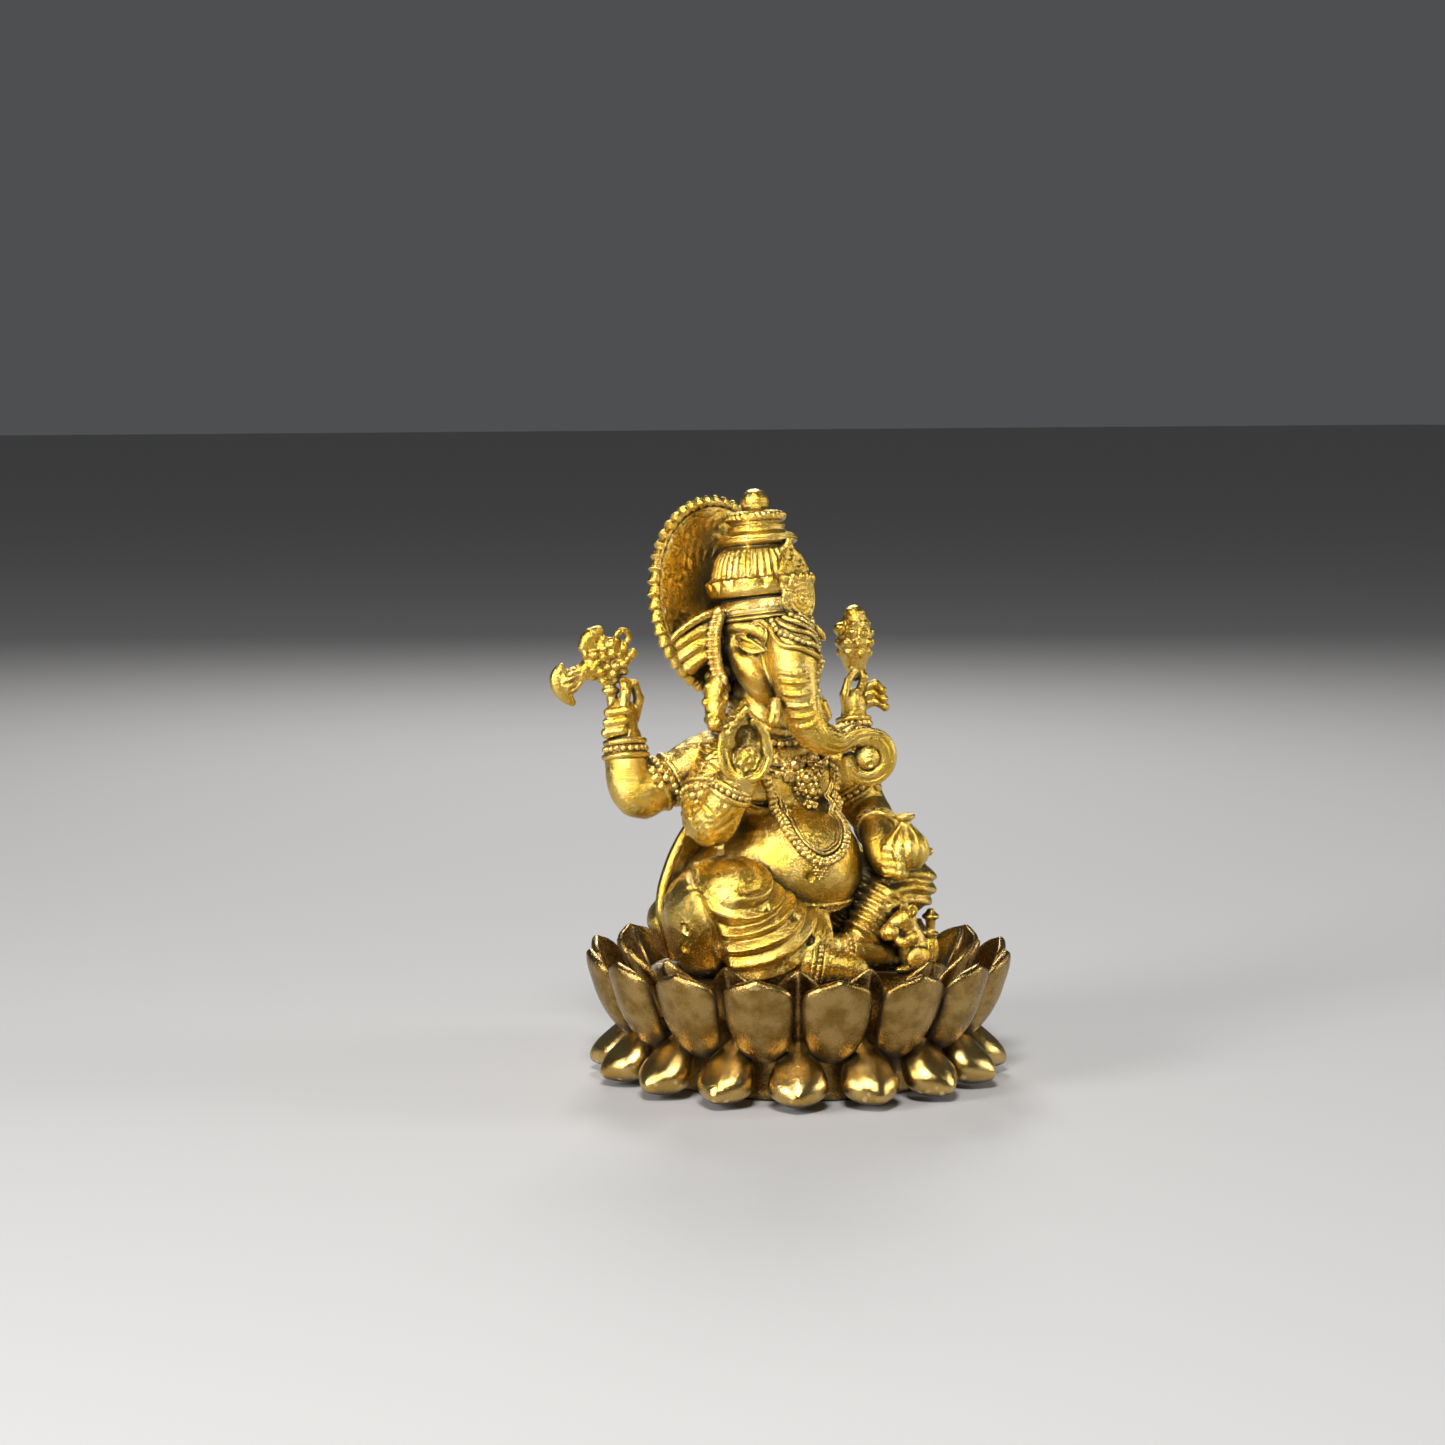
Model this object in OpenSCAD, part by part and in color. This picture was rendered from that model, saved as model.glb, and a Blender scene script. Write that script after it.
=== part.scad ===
// Seated elephant-headed deity on a lotus pedestal: a small cast brass idol.
// Frame: +Z up, the deity faces -Y, its left hand is on +X, and the origin is the
// middle of the flat underside of the lotus.

/* [Overall] */
// Height of the whole idol, from underside to crown finial
idol_h = 39.2; // [30:0.1:80]
// How far the head turns towards the deity's left, in degrees
head_turn = 16; // [0:1:18]
// How far the head and crown lean back, in degrees
head_lean = 8; // [0:1:10]
// How far the head and crown tip towards the deity's left, in degrees
head_tip = 2.5; // [0:0.5:4]

/* [Lotus] */
// Petals in each of the three rows
petal_count = 16; // [12:1:18]
// Radius of the outer petal tips
tip_r = 14.1; // [13.8:0.1:14.6]
// Radius of the flat underside
foot_r = 10.4; // [10.0:0.1:10.6]
// Height of the seed pod's top face, which the deity sits on
seat_z = 7.0; // [6.8:0.1:7.1]
// Radius of the seed pod
seat_r = 10.2; // [9.8:0.1:10.3]

/* [Figure] */
// Radius of the belly, across
belly_r = 4.9; // [4.5:0.1:5.0]
// Radius of the halo behind the crown
halo_r = 6.6; // [6.0:0.1:6.8]
// Widest radius of the crown
crown_r = 3.7; // [3.4:0.1:3.8]
// Radius of one bead of the long garland
bead_r = 0.3; // [0.25:0.01:0.34]

/* [Hidden] */
design_h = 39.2;          // the height that every place below is written for
k = idol_h / design_h;    // grows or shrinks all of it together
fine = 16;                // facets round a large body form
plain = 10;               // facets round a small one
coarse = 8;               // facets round an edge or a bead
step_angle = 360 / petal_count;

head_at = [-0.5, 3.6, 28.7];

// Body forms: centre and half sizes
hips_at = [0, 3.4, 11.2];
hips_half = [7.6, 4.8, 5.3];
belly_at = [0, 1.1, 13.9];
belly_half = [belly_r, belly_r, 4.3];
chest_at = [-0.2, 3.2, 19.4];
chest_half = [4.4, 3.0, 3.2];

// Limbs: x, y, z and radius at each bend
right_leg_line = [[-4.0, 2.4, 11.1, 3.9], [-6.4, -1.9, 12.4, 2.8], [-4.5, -3.0, 9.8, 2.7]];
right_foot_line = [[-2.2, -4.9, 8.3, 1.2], [-0.3, -5.9, 8.0, 1.0], [0.9, -6.5, 7.7, 0.8]];
left_leg_line = [[3.2, 0.9, 10.6, 3.0], [7.0, -3.2, 12.6, 2.0], [2.0, -2.7, 9.3, 1.5]];
left_foot_line = [[1.4, -2.8, 8.5, 1.1], [4.2, -3.5, 8.2, 0.95], [5.6, -3.8, 8.0, 0.7]];
back_right_arm_line = [[-4.9, 4.1, 21.4, 1.75], [-9.4, 5.0, 18.9, 1.5], [-10.0, 5.9, 22.2, 1.2]];
back_right_hand_line = [[-10.1, 6.1, 23.2, 1.0], [-10.2, 6.3, 24.6, 1.3], [-10.2, 6.5, 26.0, 0.8]];
back_left_arm_line = [[4.9, 4.1, 21.4, 1.7], [8.2, 5.4, 18.9, 1.35], [8.9, 6.5, 22.4, 1.0]];
back_left_hand_line = [[9.0, 6.6, 23.2, 0.9], [9.4, 6.7, 24.4, 1.15], [9.2, 6.8, 25.6, 0.7]];
front_right_arm_line = [[-4.9, 2.4, 20.6, 1.9], [-6.3, 1.2, 17.2, 1.7], [-5.8, -1.2, 20.4, 1.1]];
front_right_hand_line = [[-5.8, -1.5, 21.4, 1.05], [-5.7, -1.8, 22.8, 1.5], [-5.7, -1.7, 25.0, 0.85]];
front_left_arm_line = [[4.9, 2.6, 20.4, 1.7], [6.8, 2.2, 17.4, 1.45], [5.6, -1.0, 16.2, 1.1]];
front_left_hand_line = [[5.4, -1.6, 16.0, 1.0], [4.8, -2.9, 15.2, 0.9]];

// The trunk hangs from the brow, swings to the left and curls round a sweet
trunk_line = [[-0.45, 0.4, 28.6, 1.5], [-0.5, -0.3, 26.6, 1.45], [-0.35, -0.7, 24.9, 1.3],
    [0.2, -1.1, 23.4, 1.2], [1.8, -1.8, 22.6, 0.95]];
sweet_at = [4.1, -2.1, 21.3];
sweet_r = 0.9;
curl_r = 1.3;             // from the middle of the sweet to the middle of the trunk
trunk_end_r = 0.7;
curl_tip_r = 0.5;
curl_turn = 22;           // how far the curl is turned round from facing the front
curl_from = 115;
curl_step = 45;
curl_steps = 6;
pot_at = [5.9, -3.95, 13.75];
axe_at = [-10.6, 7.0, 28.0];
bud_at = [9.3, 6.9, 26.2];
mouse_at = [6.1, -4.8, 8.35];
tassel_at = [9.3, -2.3, seat_z];

// Half the garland's width, how far it falls, and the height it hangs from
garland_reach = 3.1;
garland_drop = 5.6;
garland_top_z = 20.6;
garland_beads = 30;

// ---------- helpers ----------

function place(p) = [p[0], p[1], p[2]];
function mix(a, b, t) = a + (b - a) * t;

// One closed faceted skin round everything inside
module skin() resize([0, 0, 0]) children();

module dot(p, r, facets = plain) translate(place(p)) sphere(r = r, $fn = facets);

module egg(at, half, facets = fine) translate(at) scale(half) sphere(r = 1, $fn = facets);

// A rounded limb through points that each carry a radius
module limb(line, facets = plain)
    for (i = [0 : len(line) - 2])
        hull() {
            dot(line[i], line[i][3], facets);
            dot(line[i + 1], line[i + 1][3], facets);
        }

// Turns +Z to run from a towards b, with a as the origin
module aim(a, b) {
    run = b - a;
    translate(a)
        rotate([0, acos(run[2] / norm(run)), atan2(run[1], run[0])])
            children();
}

module head_frame()
    translate(head_at) rotate([0, 0, head_turn]) rotate([0, head_tip, 0]) rotate([-head_lean, 0, 0])
        children();

module round_petals(phase)
    for (i = [0 : petal_count - 1]) rotate([0, 0, (i + phase) * step_angle - 90])
        children();

// ---------- lotus ----------

module lotus_core_shape()
    rotate_extrude($fn = 96)
        polygon([[0, 0], [foot_r - 0.3, 0], [foot_r, 0.3], [foot_r - 0.5, 1.4], [9.2, 3.3], [9.2, 4.3],
            [seat_r - 0.4, seat_z - 0.6], [0, seat_z - 0.6]]);

module lotus_core() color("darkgoldenrod") lotus_core_shape();

module seed_pod() color("darkgoldenrod")
    rotate_extrude($fn = 96)
        polygon([[0, seat_z - 0.6], [seat_r - 0.4, seat_z - 0.6], [seat_r, seat_z - 0.3],
            [seat_r - 0.2, seat_z], [0, seat_z]]);

module lower_petal_shape() hull() {
    dot([9.9, 0, 3.65], 0.4, coarse);
    for (side = [-1, 1]) dot([11.6, side * 0.85, 1.6], 0.95, coarse);
    dot([12.1, 0, 1.15], 1.1, coarse);
    dot([13.2, 0, 1.15], 0.25, coarse);
}

// The room that the core and the seed pod take up, with few sides
module lotus_cut() cylinder(r = seat_r, h = seat_z, $fn = 2 * petal_count);

module lower_petals() color("darkgoldenrod")
    skin() difference() {
        round_petals(0.5) lower_petal_shape();
        lotus_core_shape();
    }

module outer_petal_shape() hull() {
    dot([10.4, 0, 3.6], 0.5, coarse);
    for (side = [-1, 1]) {
        dot([12.0, side * 1.4, 4.9], 0.5, coarse);
        dot([13.3, side * 1.6, 7.1], 0.45, coarse);
    }
    dot([tip_r - 0.3, 0, 8.6], 0.3, coarse);
}

module outer_petals() color("darkgoldenrod")
    skin() difference() {
        round_petals(0) outer_petal_shape();
        lotus_cut();
    }

module inner_petal_shape() hull() {
    dot([10.3, 0, 5.0], 0.4, coarse);
    for (side = [-1, 1]) dot([11.2, side * 0.9, 7.2], 0.35, coarse);
    dot([12.0, 0, 9.0], 0.3, coarse);
}

module inner_petals() color("darkgoldenrod")
    skin() difference() {
        round_petals(0.5) inner_petal_shape();
        lotus_cut();
    }

// ---------- body ----------

module above_seat() translate([-30, -30, seat_z]) cube([60, 60, 60]);

module hips_shape() intersection() {
    egg(hips_at, hips_half);
    above_seat();
}

module hips() color("gold") skin() hips_shape();

module torso_shape() {
    egg(belly_at, belly_half);
    hull() {
        egg(chest_at, chest_half);
        dot([-4.4, 3.6, 21.3], 1.4);
        dot([4.4, 3.6, 21.3], 1.4);
    }
    hull() {
        dot([-0.3, 3.6, 22.0], 2.3);
        dot([-0.4, 3.6, 25.4], 2.0);
    }
}

module torso() color("gold")
    skin() difference() {
        torso_shape();
        hips_shape();
        head_frame() head_shape();
    }

module right_leg_shape() intersection() {
    limb(right_leg_line, fine);
    above_seat();
}

module left_leg_shape() intersection() {
    limb(left_leg_line, fine);
    above_seat();
}

module right_leg() color("gold")
    skin() difference() {
        right_leg_shape();
        hips_shape();
        torso_shape();
    }

module left_leg() color("gold")
    skin() difference() {
        left_leg_shape();
        hips_shape();
        torso_shape();
    }

module foot_shape(line) intersection() {
    limb(line);
    above_seat();
}

module right_foot() color("gold")
    skin() difference() {
        foot_shape(right_foot_line);
        right_leg_shape();
    }

module left_foot() color("gold")
    skin() difference() {
        foot_shape(left_foot_line);
        left_leg_shape();
        foot_shape(right_foot_line);
        right_leg_shape();
    }

// ---------- arms ----------

module arm(line) color("gold")
    skin() difference() {
        limb(line);
        torso_shape();
        hips_shape();
    }

module hand(line, arm_line) color("gold")
    skin() difference() {
        limb(line);
        limb(arm_line);
    }

module back_right_arm() arm(back_right_arm_line);
module back_left_arm() arm(back_left_arm_line);

module front_right_arm() color("gold")
    skin() difference() {
        limb(front_right_arm_line);
        torso_shape();
        hips_shape();
        right_leg_shape();
        limb(back_right_arm_line);
    }

module front_left_arm() color("gold")
    skin() difference() {
        limb(front_left_arm_line);
        torso_shape();
        hips_shape();
        left_leg_shape();
        limb(back_left_arm_line);
    }

module back_right_hand() hand(back_right_hand_line, back_right_arm_line);
module back_left_hand() hand(back_left_hand_line, back_left_arm_line);
module front_right_hand() hand(front_right_hand_line, front_right_arm_line);

module front_left_hand() color("gold")
    skin() difference() {
        limb(front_left_hand_line);
        limb(front_left_arm_line);
        torso_shape();
        translate(pot_at) pot_shape();
    }

// ---------- what the hands hold ----------

module axe_shape() translate(axe_at) {
    scale([1.4, 0.8, 1.4]) sphere(r = 1, $fn = plain);
    limb([[0.4, 0, 0.4, 0.5], [1.4, 0, 1.5, 0.45]], coarse);
    limb([[-0.4, 0, 0.5, 0.5], [-1.3, 0, 1.8, 0.55]], coarse);
    limb([[-0.9, 0, -0.5, 0.5], [-2.6, 0, -1.2, 0.6]], coarse);
    hull() {
        dot([-3.3, 0, -0.5], 0.45, coarse);
        dot([-3.6, 0, -1.6], 0.6, coarse);
        dot([-3.0, 0, -2.3], 0.4, coarse);
    }
    limb([[0, 0, -1.0, 0.55], [0.3, -0.4, -2.6, 0.55]], coarse);
}

module axe() color("gold")
    skin() difference() {
        axe_shape();
        limb(back_right_hand_line);
    }

module lotus_bud() color("gold")
    skin() difference() {
        translate(bud_at) {
            limb([[0, 0, -0.6, 0.5], [0, 0, 1.2, 1.15], [0, 0, 2.4, 1.15], [0, 0, 3.8, 0.7]]);
        }
        limb(back_left_hand_line);
    }

module pot_shape() rotate_extrude($fn = 48)
    polygon([[0, -0.1], [0.9, 0], [1.4, 0.7], [1.48, 1.4], [1.15, 2.4], [0.62, 3.1], [0.45, 3.4],
        [0.62, 3.6], [0.6, 3.8], [0, 3.9]]);

module sweet_pot() color("gold") translate(pot_at) pot_shape();

// ---------- head ----------

module head_shape() {
    egg([0, 0.1, 0.3], [2.75, 3.3, 3.2]);
    egg([0, -1.4, 0.9], [2.3, 2.5, 2.4]);
    for (side = [-1, 1]) egg([side * 1.35, -1.3, -1.9], [1.35, 1.6, 2.1], plain);
}

module head() color("gold") skin() head_frame() head_shape();

function curl_point(angle) = sweet_at
    + curl_r * [cos(curl_turn) * cos(angle), sin(-curl_turn) * cos(angle), sin(angle)];

module curl_shape()
    for (i = [0 : curl_steps - 1]) hull() {
        for (j = [i, i + 1])
            dot(curl_point(curl_from - j * curl_step), mix(trunk_end_r, curl_tip_r, j / curl_steps), coarse);
    }

module trunk() color("gold")
    skin() difference() {
        union() {
            limb(trunk_line);
            hull() {
                dot(trunk_line[4], trunk_line[4][3]);
                dot(curl_point(curl_from), trunk_end_r, coarse);
            }
            curl_shape();
        }
        head_frame() head_shape();
        dot(sweet_at, sweet_r, plain);
        limb(front_left_arm_line);
        torso_shape();
    }

module trunk_sweet() color("gold") translate(sweet_at) sphere(r = sweet_r, $fn = 32);

module tusk(side, length) color("gold")
    skin() difference() {
        head_frame() limb([[side * 1.75, -2.7, -3.1, 0.45],
            [side * 2.05, -3.1 - length / 4, -3.4 - length, 0.4]]);
        head_frame() head_shape();
        limb(trunk_line);
    }

module right_tusk() tusk(-1, 1.2);
module left_tusk() tusk(1, 0.6);

// An ear, with its tip swept to the depth given
module ear(side, sweep) color("gold")
    skin() difference() {
        head_frame() scale([side, 1, 1]) hull() {
            dot([2.6, 0.9, 2.1], 0.4, coarse);
            dot([4.9, mix(0.9, sweep, 0.6), 1.7], 0.35, coarse);
            dot([6.2, sweep, 0.6], 0.35, coarse);
            dot([5.7, mix(0.9, sweep, 0.9), -0.9], 0.35, coarse);
            dot([4.3, mix(0.9, sweep, 0.5), -2.1], 0.4, coarse);
            dot([2.6, 0.9, -1.6], 0.4, coarse);
        }
        head_frame() head_shape();
        temple_shape();
        torso_shape();
    }

module right_ear() ear(-1, 3.0);
module left_ear() ear(1, 0.0);

// ---------- crown and halo ----------

crown_profile = [[0, 3.35], [crown_r - 0.4, 3.35], [crown_r, 3.6], [crown_r, 4.1], [crown_r - 0.4, 4.4],
    [3.0, 5.5], [2.45, 6.4], [2.25, 6.55], [2.7, 6.8], [2.7, 7.2], [2.0, 7.5], [1.95, 7.95],
    [1.8, 8.15], [2.05, 8.4], [2.0, 8.75], [1.5, 8.95], [0, 8.95]];

module crown_shape() head_frame() rotate_extrude($fn = 64) polygon(crown_profile);

module crown() color("gold") crown_shape();

module crown_finial() color("gold")
    head_frame() translate([0, 0, 8.95]) rotate_extrude($fn = 32)
        polygon([[0, 0], [1.0, 0], [0.85, 0.3], [0.88, 0.7], [0.8, 1.1], [0.5, 1.5], [0, 1.66]]);

module crown_plaque() color("gold")
    skin() difference() {
        head_frame() hull() {
            dot([0, -3.1, 6.9], 0.25, 10);
            dot([-1.5, -3.5, 4.3], 0.35, 10);
            dot([1.5, -3.5, 4.3], 0.35, 10);
            dot([0, -4.0, 4.0], 0.3, 10);
        }
        crown_shape();
        head_frame() head_shape();
    }

module diadem() color("gold") head_frame() translate([0, -0.3, 2.35])
    rotate_extrude($fn = 48) translate([2.3, 0]) square([1.2, 1.0]);

// Three bead loops across the brow, with a drop in the middle
function brow_point(side, t) = let (angle = side * mix(72, 0, t), reach = mix(3.15, 3.95, t))
    [reach * sin(angle), -0.3 - reach * cos(angle) * 1.02, 2.0 - 2.5 * t * t + 0.3 * t];

module brow_chains() color("gold")
    skin() difference() {
        head_frame() union() {
            for (side = [-1, 1]) for (i = [0 : 7])
                dot(brow_point(side, i / 7.5), 0.3, 6);
            egg([0, -4.0, -0.2], [0.5, 0.4, 0.6], coarse);
        }
        head_frame() head_shape();
        limb(trunk_line);
    }

module temple_shape() head_frame() for (side = [-1, 1])
    limb([[side * 3.2, 1.2, 2.0, 0.4], [side * 3.4, 1.4, -2.0, 0.5]], coarse);

module temple_tassels() color("gold")
    skin() difference() {
        temple_shape();
        head_frame() head_shape();
    }

halo_at = [-0.55, 3.9, 3.45];
rope_r = 0.42;
halo_rim = halo_r - rope_r * 0.9;
halo_profile = [[0, -0.35], [2.2, -0.35], [2.6, -0.15], [halo_rim, 0.35], [halo_rim, 0.85],
    [halo_rim - 0.8, 0.9], [2.4, 0.35], [0, 0.35]];

module halo_frame() head_frame() translate(halo_at) rotate([90, 0, 0]) children();

module halo_shape() halo_frame() rotate_extrude($fn = 64) polygon(halo_profile);

module halo() color("gold") halo_shape();

module halo_rope() color("gold") halo_frame() translate([0, 0, 0.6])
    rotate_extrude($fn = 64) translate([halo_r, 0]) circle(r = rope_r, $fn = 24);

module hair_locks() color("gold")
    skin() difference() {
        head_frame() for (side = [-1, 1])
            limb([[side * 3.7, 1.7, -3.0, 0.8], [side * 4.2, 1.5, -5.6, 0.6]]);
        torso_shape();
        all_arms();
    }

// ---------- ornaments ----------

module on_limb(line, from, share) {
    a = place(line[from]);
    b = place(line[from + 1]);
    aim(mix(a, b, share), b) children();
}

module collar() color("gold")
    skin() difference() {
        translate([-0.3, 2.7, 22.3]) rotate([24, 0, 0]) scale([1.15, 0.95, 1])
            rotate_extrude($fn = 24) translate([3.0, 0]) circle(r = 0.6, $fn = coarse);
        torso_shape();
        all_arms();
        head_frame() head_shape();
        limb(trunk_line);
    }

module pendant() color("gold")
    skin() difference() {
        hull() {
            dot([0.1, -0.5, 20.9], 0.6, 10);
            dot([0.2, -1.6, 19.2], 0.5, 10);
        }
        torso_shape();
        collar();
        limb(trunk_line);
    }

// A long loop of beads that follows the chest and the belly, just proud of them
function garland_side(t) = garland_reach * cos(180 * t);
function garland_z(t) = garland_top_z - garland_drop * sin(180 * t) - 1.3 * pow(sin(180 * t), 6);
function belly_front(x, z) = let (rx = x / belly_half[0], rz = (z - belly_at[2]) / belly_half[2])
    rx * rx + rz * rz < 1 ? belly_at[1] - belly_half[1] * sqrt(1 - rx * rx - rz * rz) : 9;
function chest_front(x, z) =
    let (rx = (x - chest_at[0]) / chest_half[0], rz = (z - chest_at[2]) / chest_half[2])
    rx * rx + rz * rz < 1 ? chest_at[1] - chest_half[1] * sqrt(1 - rx * rx - rz * rz) : 9;
function garland_point(t) = let (x = garland_side(t), z = garland_z(t))
    [x, min(belly_front(x, z), chest_front(x, z)) - bead_r * 1.1, z];

module garland() color("gold")
    skin() difference() {
        for (i = [0 : garland_beads - 1]) dot(garland_point(i / (garland_beads - 1)), bead_r, 6);
        torso_shape();
    }

// A band round a limb, whose bore is the limb's own radius there
module limb_band(line, from, share, wall, height) on_limb(line, from, share)
    translate([0, 0, -height / 2]) rotate_extrude($fn = 32)
        translate([mix(line[from][3], line[from + 1][3], share) - 0.02, 0]) square([wall, height]);

module all_arms() {
    limb(back_right_arm_line);
    limb(back_left_arm_line);
    limb(front_right_arm_line);
    limb(front_left_arm_line);
}

module armlets() color("gold") {
    limb_band(back_right_arm_line, 0, 0.5, 0.25, 0.8);
    limb_band(back_left_arm_line, 0, 0.5, 0.25, 0.8);
    limb_band(front_right_arm_line, 0, 0.45, 0.25, 0.9);
    limb_band(front_left_arm_line, 0, 0.45, 0.25, 0.9);
}

module bangles() color("gold") {
    limb_band(back_right_arm_line, 1, 0.8, 0.25, 0.9);
    limb_band(back_left_arm_line, 1, 0.85, 0.25, 0.9);
    limb_band(front_right_arm_line, 1, 0.85, 0.25, 0.9);
    limb_band(front_left_arm_line, 1, 0.8, 0.25, 0.9);
}

module anklets() color("gold")
    skin() difference() {
        intersection() {
            union() {
                ankle_ring(right_foot_line, 0.1);
                ankle_ring(left_foot_line, 0.15);
            }
            above_seat();
        }
        left_leg_shape();
        right_leg_shape();
        hips_shape();
    }

module ankle_ring(line, share) on_limb(line, 0, share)
    rotate_extrude($fn = 16) translate([line[0][3] - 0.05, -0.3]) square([0.25, 0.6]);

module belt_shape() translate([0, 1.1, 11.2]) rotate([6, 0, 0]) scale([1, 0.98, 1])
    rotate_extrude($fn = 48) translate([3.9, 0]) square([1.2, 0.7], center = true);

module belt() color("gold")
    skin() difference() {
        belt_shape();
        torso_shape();
        hips_shape();
        right_leg_shape();
        left_leg_shape();
    }

module front_pleats() color("gold")
    skin() difference() {
        hull() {
            for (side = [-1, 1]) {
                dot([side * 1.1 - 0.5, -2.7, 10.7], 0.6, coarse);
                dot([side * 1.2 - 0.7, -3.9, 8.4], 0.6, coarse);
            }
        }
        torso_shape();
        hips_shape();
        right_leg_shape();
        left_leg_shape();
        belt_shape();
        foot_shape(right_foot_line);
        foot_shape(left_foot_line);
    }

module navel_jewel() color("gold")
    skin() difference() {
        egg([-0.65, -3.75, 14.3], [0.7, 0.45, 0.7], plain);
        torso_shape();
    }

shawl_line = [[-5.1, 4.6, 17.2, 0.5], [-7.1, 4.3, 14.9, 0.5], [-8.2, 3.9, 12.5, 0.55],
    [-8.3, 3.8, 10.6, 0.55], [-7.4, 4.0, 7.8, 0.6]];

module shawl() color("gold")
    skin() difference() {
        for (side = [1, -1]) scale([side, 1, 1]) limb(shawl_line, coarse);
        hips_shape();
        torso_shape();
    }

module side_tassel() color("gold") translate(tassel_at) rotate_extrude($fn = 24)
    polygon([[0, 0], [0.62, 0], [0.5, 1.5], [0.35, 1.7], [0.55, 1.95], [0.35, 2.2], [0.4, 2.9],
        [0.6, 3.2], [0.3, 3.6], [0, 3.6]]);

// ---------- the mouse ----------

module mouse_shape() {
    hull() {
        dot(mouse_at, 1.3);
        dot(mouse_at + [-0.4, 0, 1.4], 0.85);
    }
    hull() {
        dot(mouse_at + [-0.6, 0.1, 2.1], 0.75);
        dot(mouse_at + [-1.8, 0.2, 1.7], 0.3, coarse);
    }
    for (side = [-1, 1]) dot(mouse_at + [-0.3, side * 0.6, 2.8], 0.4, coarse);
}

mouse_sweet_at = mouse_at + [-1.7, -0.1, 1.5];
mouse_sweet_r = 0.55;

module mouse() color("gold")
    skin() difference() {
        intersection() {
            mouse_shape();
            above_seat();
        }
        left_leg_shape();
        foot_shape(left_foot_line);
        dot(mouse_sweet_at, mouse_sweet_r);
    }

module mouse_sweet() color("gold") translate(mouse_sweet_at) sphere(r = mouse_sweet_r, $fn = 24);

// ---------- the nodes ----------

module whole() scale([k, k, k]) children();

whole() lotus_core();
whole() seed_pod();
whole() lower_petals();
whole() outer_petals();
whole() inner_petals();
whole() hips();
whole() torso();
whole() right_leg();
whole() right_foot();
whole() left_leg();
whole() left_foot();
whole() back_right_arm();
whole() back_right_hand();
whole() back_left_arm();
whole() back_left_hand();
whole() front_right_arm();
whole() front_right_hand();
whole() front_left_arm();
whole() front_left_hand();
whole() axe();
whole() lotus_bud();
whole() sweet_pot();
whole() head();
whole() trunk();
whole() trunk_sweet();
whole() right_tusk();
whole() left_tusk();
whole() right_ear();
whole() left_ear();
whole() crown();
whole() crown_finial();
whole() crown_plaque();
whole() diadem();
whole() brow_chains();
whole() temple_tassels();
whole() halo();
whole() halo_rope();
whole() hair_locks();
whole() collar();
whole() pendant();
whole() garland();
whole() armlets();
whole() bangles();
whole() anklets();
whole() belt();
whole() front_pleats();
whole() navel_jewel();
whole() shawl();
whole() side_tassel();
whole() mouse();
whole() mouse_sweet();
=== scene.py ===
import math

import bpy
import numpy as np
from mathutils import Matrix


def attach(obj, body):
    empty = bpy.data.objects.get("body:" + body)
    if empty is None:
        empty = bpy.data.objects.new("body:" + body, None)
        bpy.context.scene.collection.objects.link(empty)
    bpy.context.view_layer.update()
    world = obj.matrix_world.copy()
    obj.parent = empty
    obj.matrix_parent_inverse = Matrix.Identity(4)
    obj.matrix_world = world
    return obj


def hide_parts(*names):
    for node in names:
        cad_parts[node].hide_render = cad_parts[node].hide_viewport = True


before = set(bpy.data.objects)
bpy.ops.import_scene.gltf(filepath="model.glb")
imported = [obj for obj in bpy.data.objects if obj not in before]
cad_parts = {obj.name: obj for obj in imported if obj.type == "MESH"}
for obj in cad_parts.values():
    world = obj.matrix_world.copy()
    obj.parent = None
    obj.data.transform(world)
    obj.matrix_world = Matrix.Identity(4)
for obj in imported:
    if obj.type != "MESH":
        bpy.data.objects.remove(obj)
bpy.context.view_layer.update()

import openvdb as vdb
from mathutils import Vector

# Everything is modelled in millimetres, in the CAD frame: +Z up, the deity faces -Y, its left hand
# is on +X. Organic forms are sculpted as distance fields, which are then turned into meshes.

MM = 0.001           # metres in one of this script's units
FAR = 4.0            # the distance written where nothing has been modelled
COARSE_STEP = 0.14   # spacing of the sculpting grid where only a rough form is needed,
HIP_STEP = 0.13      # on the broadest form,
BODY_STEP = 0.10     # on large ones
FACE_STEP = 0.07     # and on fine ones
SIDES = (-1, 1)      # the deity's right side and its left
chance = np.random.default_rng(7)


# ---------- small maths ----------

def vec(*numbers):
    return np.array(numbers, float)


def unit(v):
    return np.asarray(v, float) / np.linalg.norm(v)


def turn_z(degrees):
    c, s = math.cos(math.radians(degrees)), math.sin(math.radians(degrees))
    return np.array([[c, -s, 0], [s, c, 0], [0, 0, 1]])


def turn_x(degrees):
    c, s = math.cos(math.radians(degrees)), math.sin(math.radians(degrees))
    return np.array([[1, 0, 0], [0, c, -s], [0, s, c]])


def turn_y(degrees):
    c, s = math.cos(math.radians(degrees)), math.sin(math.radians(degrees))
    return np.array([[c, 0, s], [0, 1, 0], [-s, 0, c]])


def ease(edge_low, edge_high, value):
    """0 below edge_low, 1 above edge_high and a smooth step between."""
    t = np.clip((value - edge_low) / (edge_high - edge_low), 0, 1)
    return t * t * (3 - 2 * t)


def round_angles(count):
    """Angles evenly spaced once round a circle."""
    return np.linspace(0, 2 * math.pi, count, endpoint=False)


def round_loop(centre, r, side, up, angle):
    """Places round a circle that lies along two directions."""
    return centre + r * (np.cos(angle)[:, None] * side + np.sin(angle)[:, None] * up)


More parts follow.
